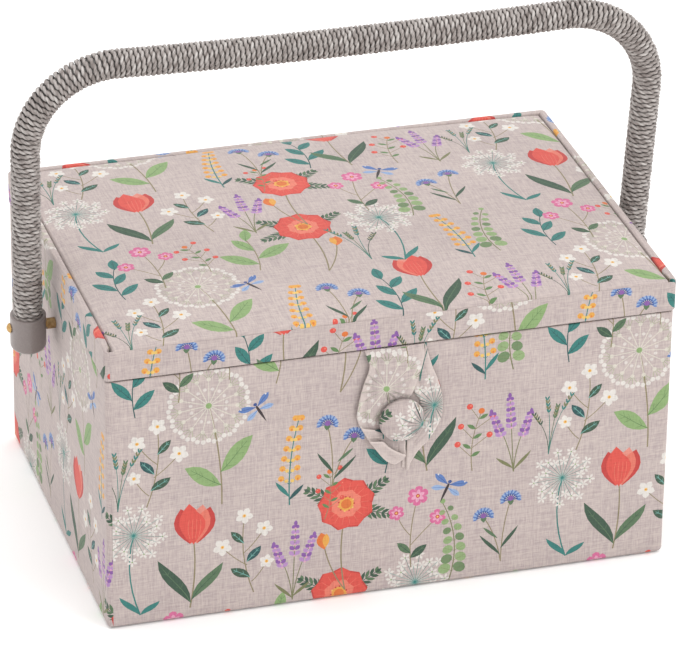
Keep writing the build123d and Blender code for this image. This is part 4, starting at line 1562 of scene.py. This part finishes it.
def make_cushion():
    # A stuffed cushion whose sides draw in between its corners, stitched to the lining above.
    columns, rows = 44, 30
    a, b = np.linspace(-1, 1, columns), np.linspace(-1, 1, rows)
    u, v = np.meshgrid(np.sin(a * math.pi / 2), np.sin(b * math.pi / 2))
    x = cushion_mid[0] + cushion_half[0] * u * (1 - 0.055 * (1 - v**2))
    y = cushion_mid[1] + cushion_half[1] * v * (1 - 0.09 * (1 - u**2))
    fill = (1 - np.abs(u) ** 3.0) ** 0.55 * (1 - np.abs(v) ** 3.0) ** 0.55
    tuft = np.exp(-((x - cushion_mid[0]) ** 2 + (y - cushion_mid[1]) ** 2) / 30.0)
    pucker = 0.35 * np.sin(u * 26) * np.exp(-((1 - np.abs(v)) / 0.10)) * (1 - np.abs(u))
    down = cushion_tall * (0.10 + 0.90 * fill) - 4.0 * tuft + pucker
    grid = np.stack([x.ravel(), y.ravel()], 1)
    top, low = cushion_high[2] - 0.3, (cushion_high[2] - down).ravel()
    return pad_mesh("pin_cushion_velvet", columns, rows, grid, top, low, CUSHION)


cushion = make_cushion()
dress(cushion, "lid", "pin_cushion")


def make_pocket():
    # A gathered pocket, drawn flat to the lining, with an elastic hem along its open side.
    columns, rows = 150, 22
    low, high = pocket_low, pocket_high
    tall = high[2] - low[2]
    uu, vv = np.meshgrid(np.linspace(0, 1, columns), np.linspace(0, 1, rows))
    x = low[0] + (high[0] - low[0]) * uu
    y = low[1] + (high[1] - low[1]) * vv
    side = np.clip(np.minimum(uu, 1 - uu) / 0.05, 0, 1)
    belly = np.sin(math.pi * np.clip(vv * 0.92 + 0.04, 0, 1)) ** 0.6 * np.sqrt(side)
    fold = np.sin(uu * math.pi * 46 + 1.4 * np.sin(uu * 37)) * (0.25 + 0.75 * np.abs(vv - 0.45) * 2)
    down = tall * (0.18 + 0.62 * belly) + 0.55 * fold * belly
    hem = fading(vv - 0.955, 0.035)
    down = down * (1 - 0.3 * hem) + 1.6 * hem
    z = high[2] - np.clip(down, 0.2, tall)
    grid = np.stack([x.ravel(), y.ravel()], 1)
    return pad_mesh("pocket_cloth", columns, rows, grid, high[2] - 0.1, z.ravel(), LINING, (1.6, 1.0))


pocket = make_pocket()
dress(pocket, "lid", "lid_pocket")

# finishes of the CAD nodes that stay

FINISH = {
    BOARD: [name for name in frame["nodes"] if name.endswith("_board")],
    PAPER: ("base_cover",),
    CAP: ("left_end_cap", "right_end_cap"),
    GILT: ("left_rivet", "right_rivet"),
    BRASS: ("left_spacer", "right_spacer"),
    STEEL: ("left_rivet_washer", "right_rivet_washer", "button_shank", "button_washer"),
    ROD: ("handle_core",),
}
for material, names in FINISH.items():
    for name in names:
        frame["nodes"][name].data.materials.clear()
        frame["nodes"][name].data.materials.append(material)
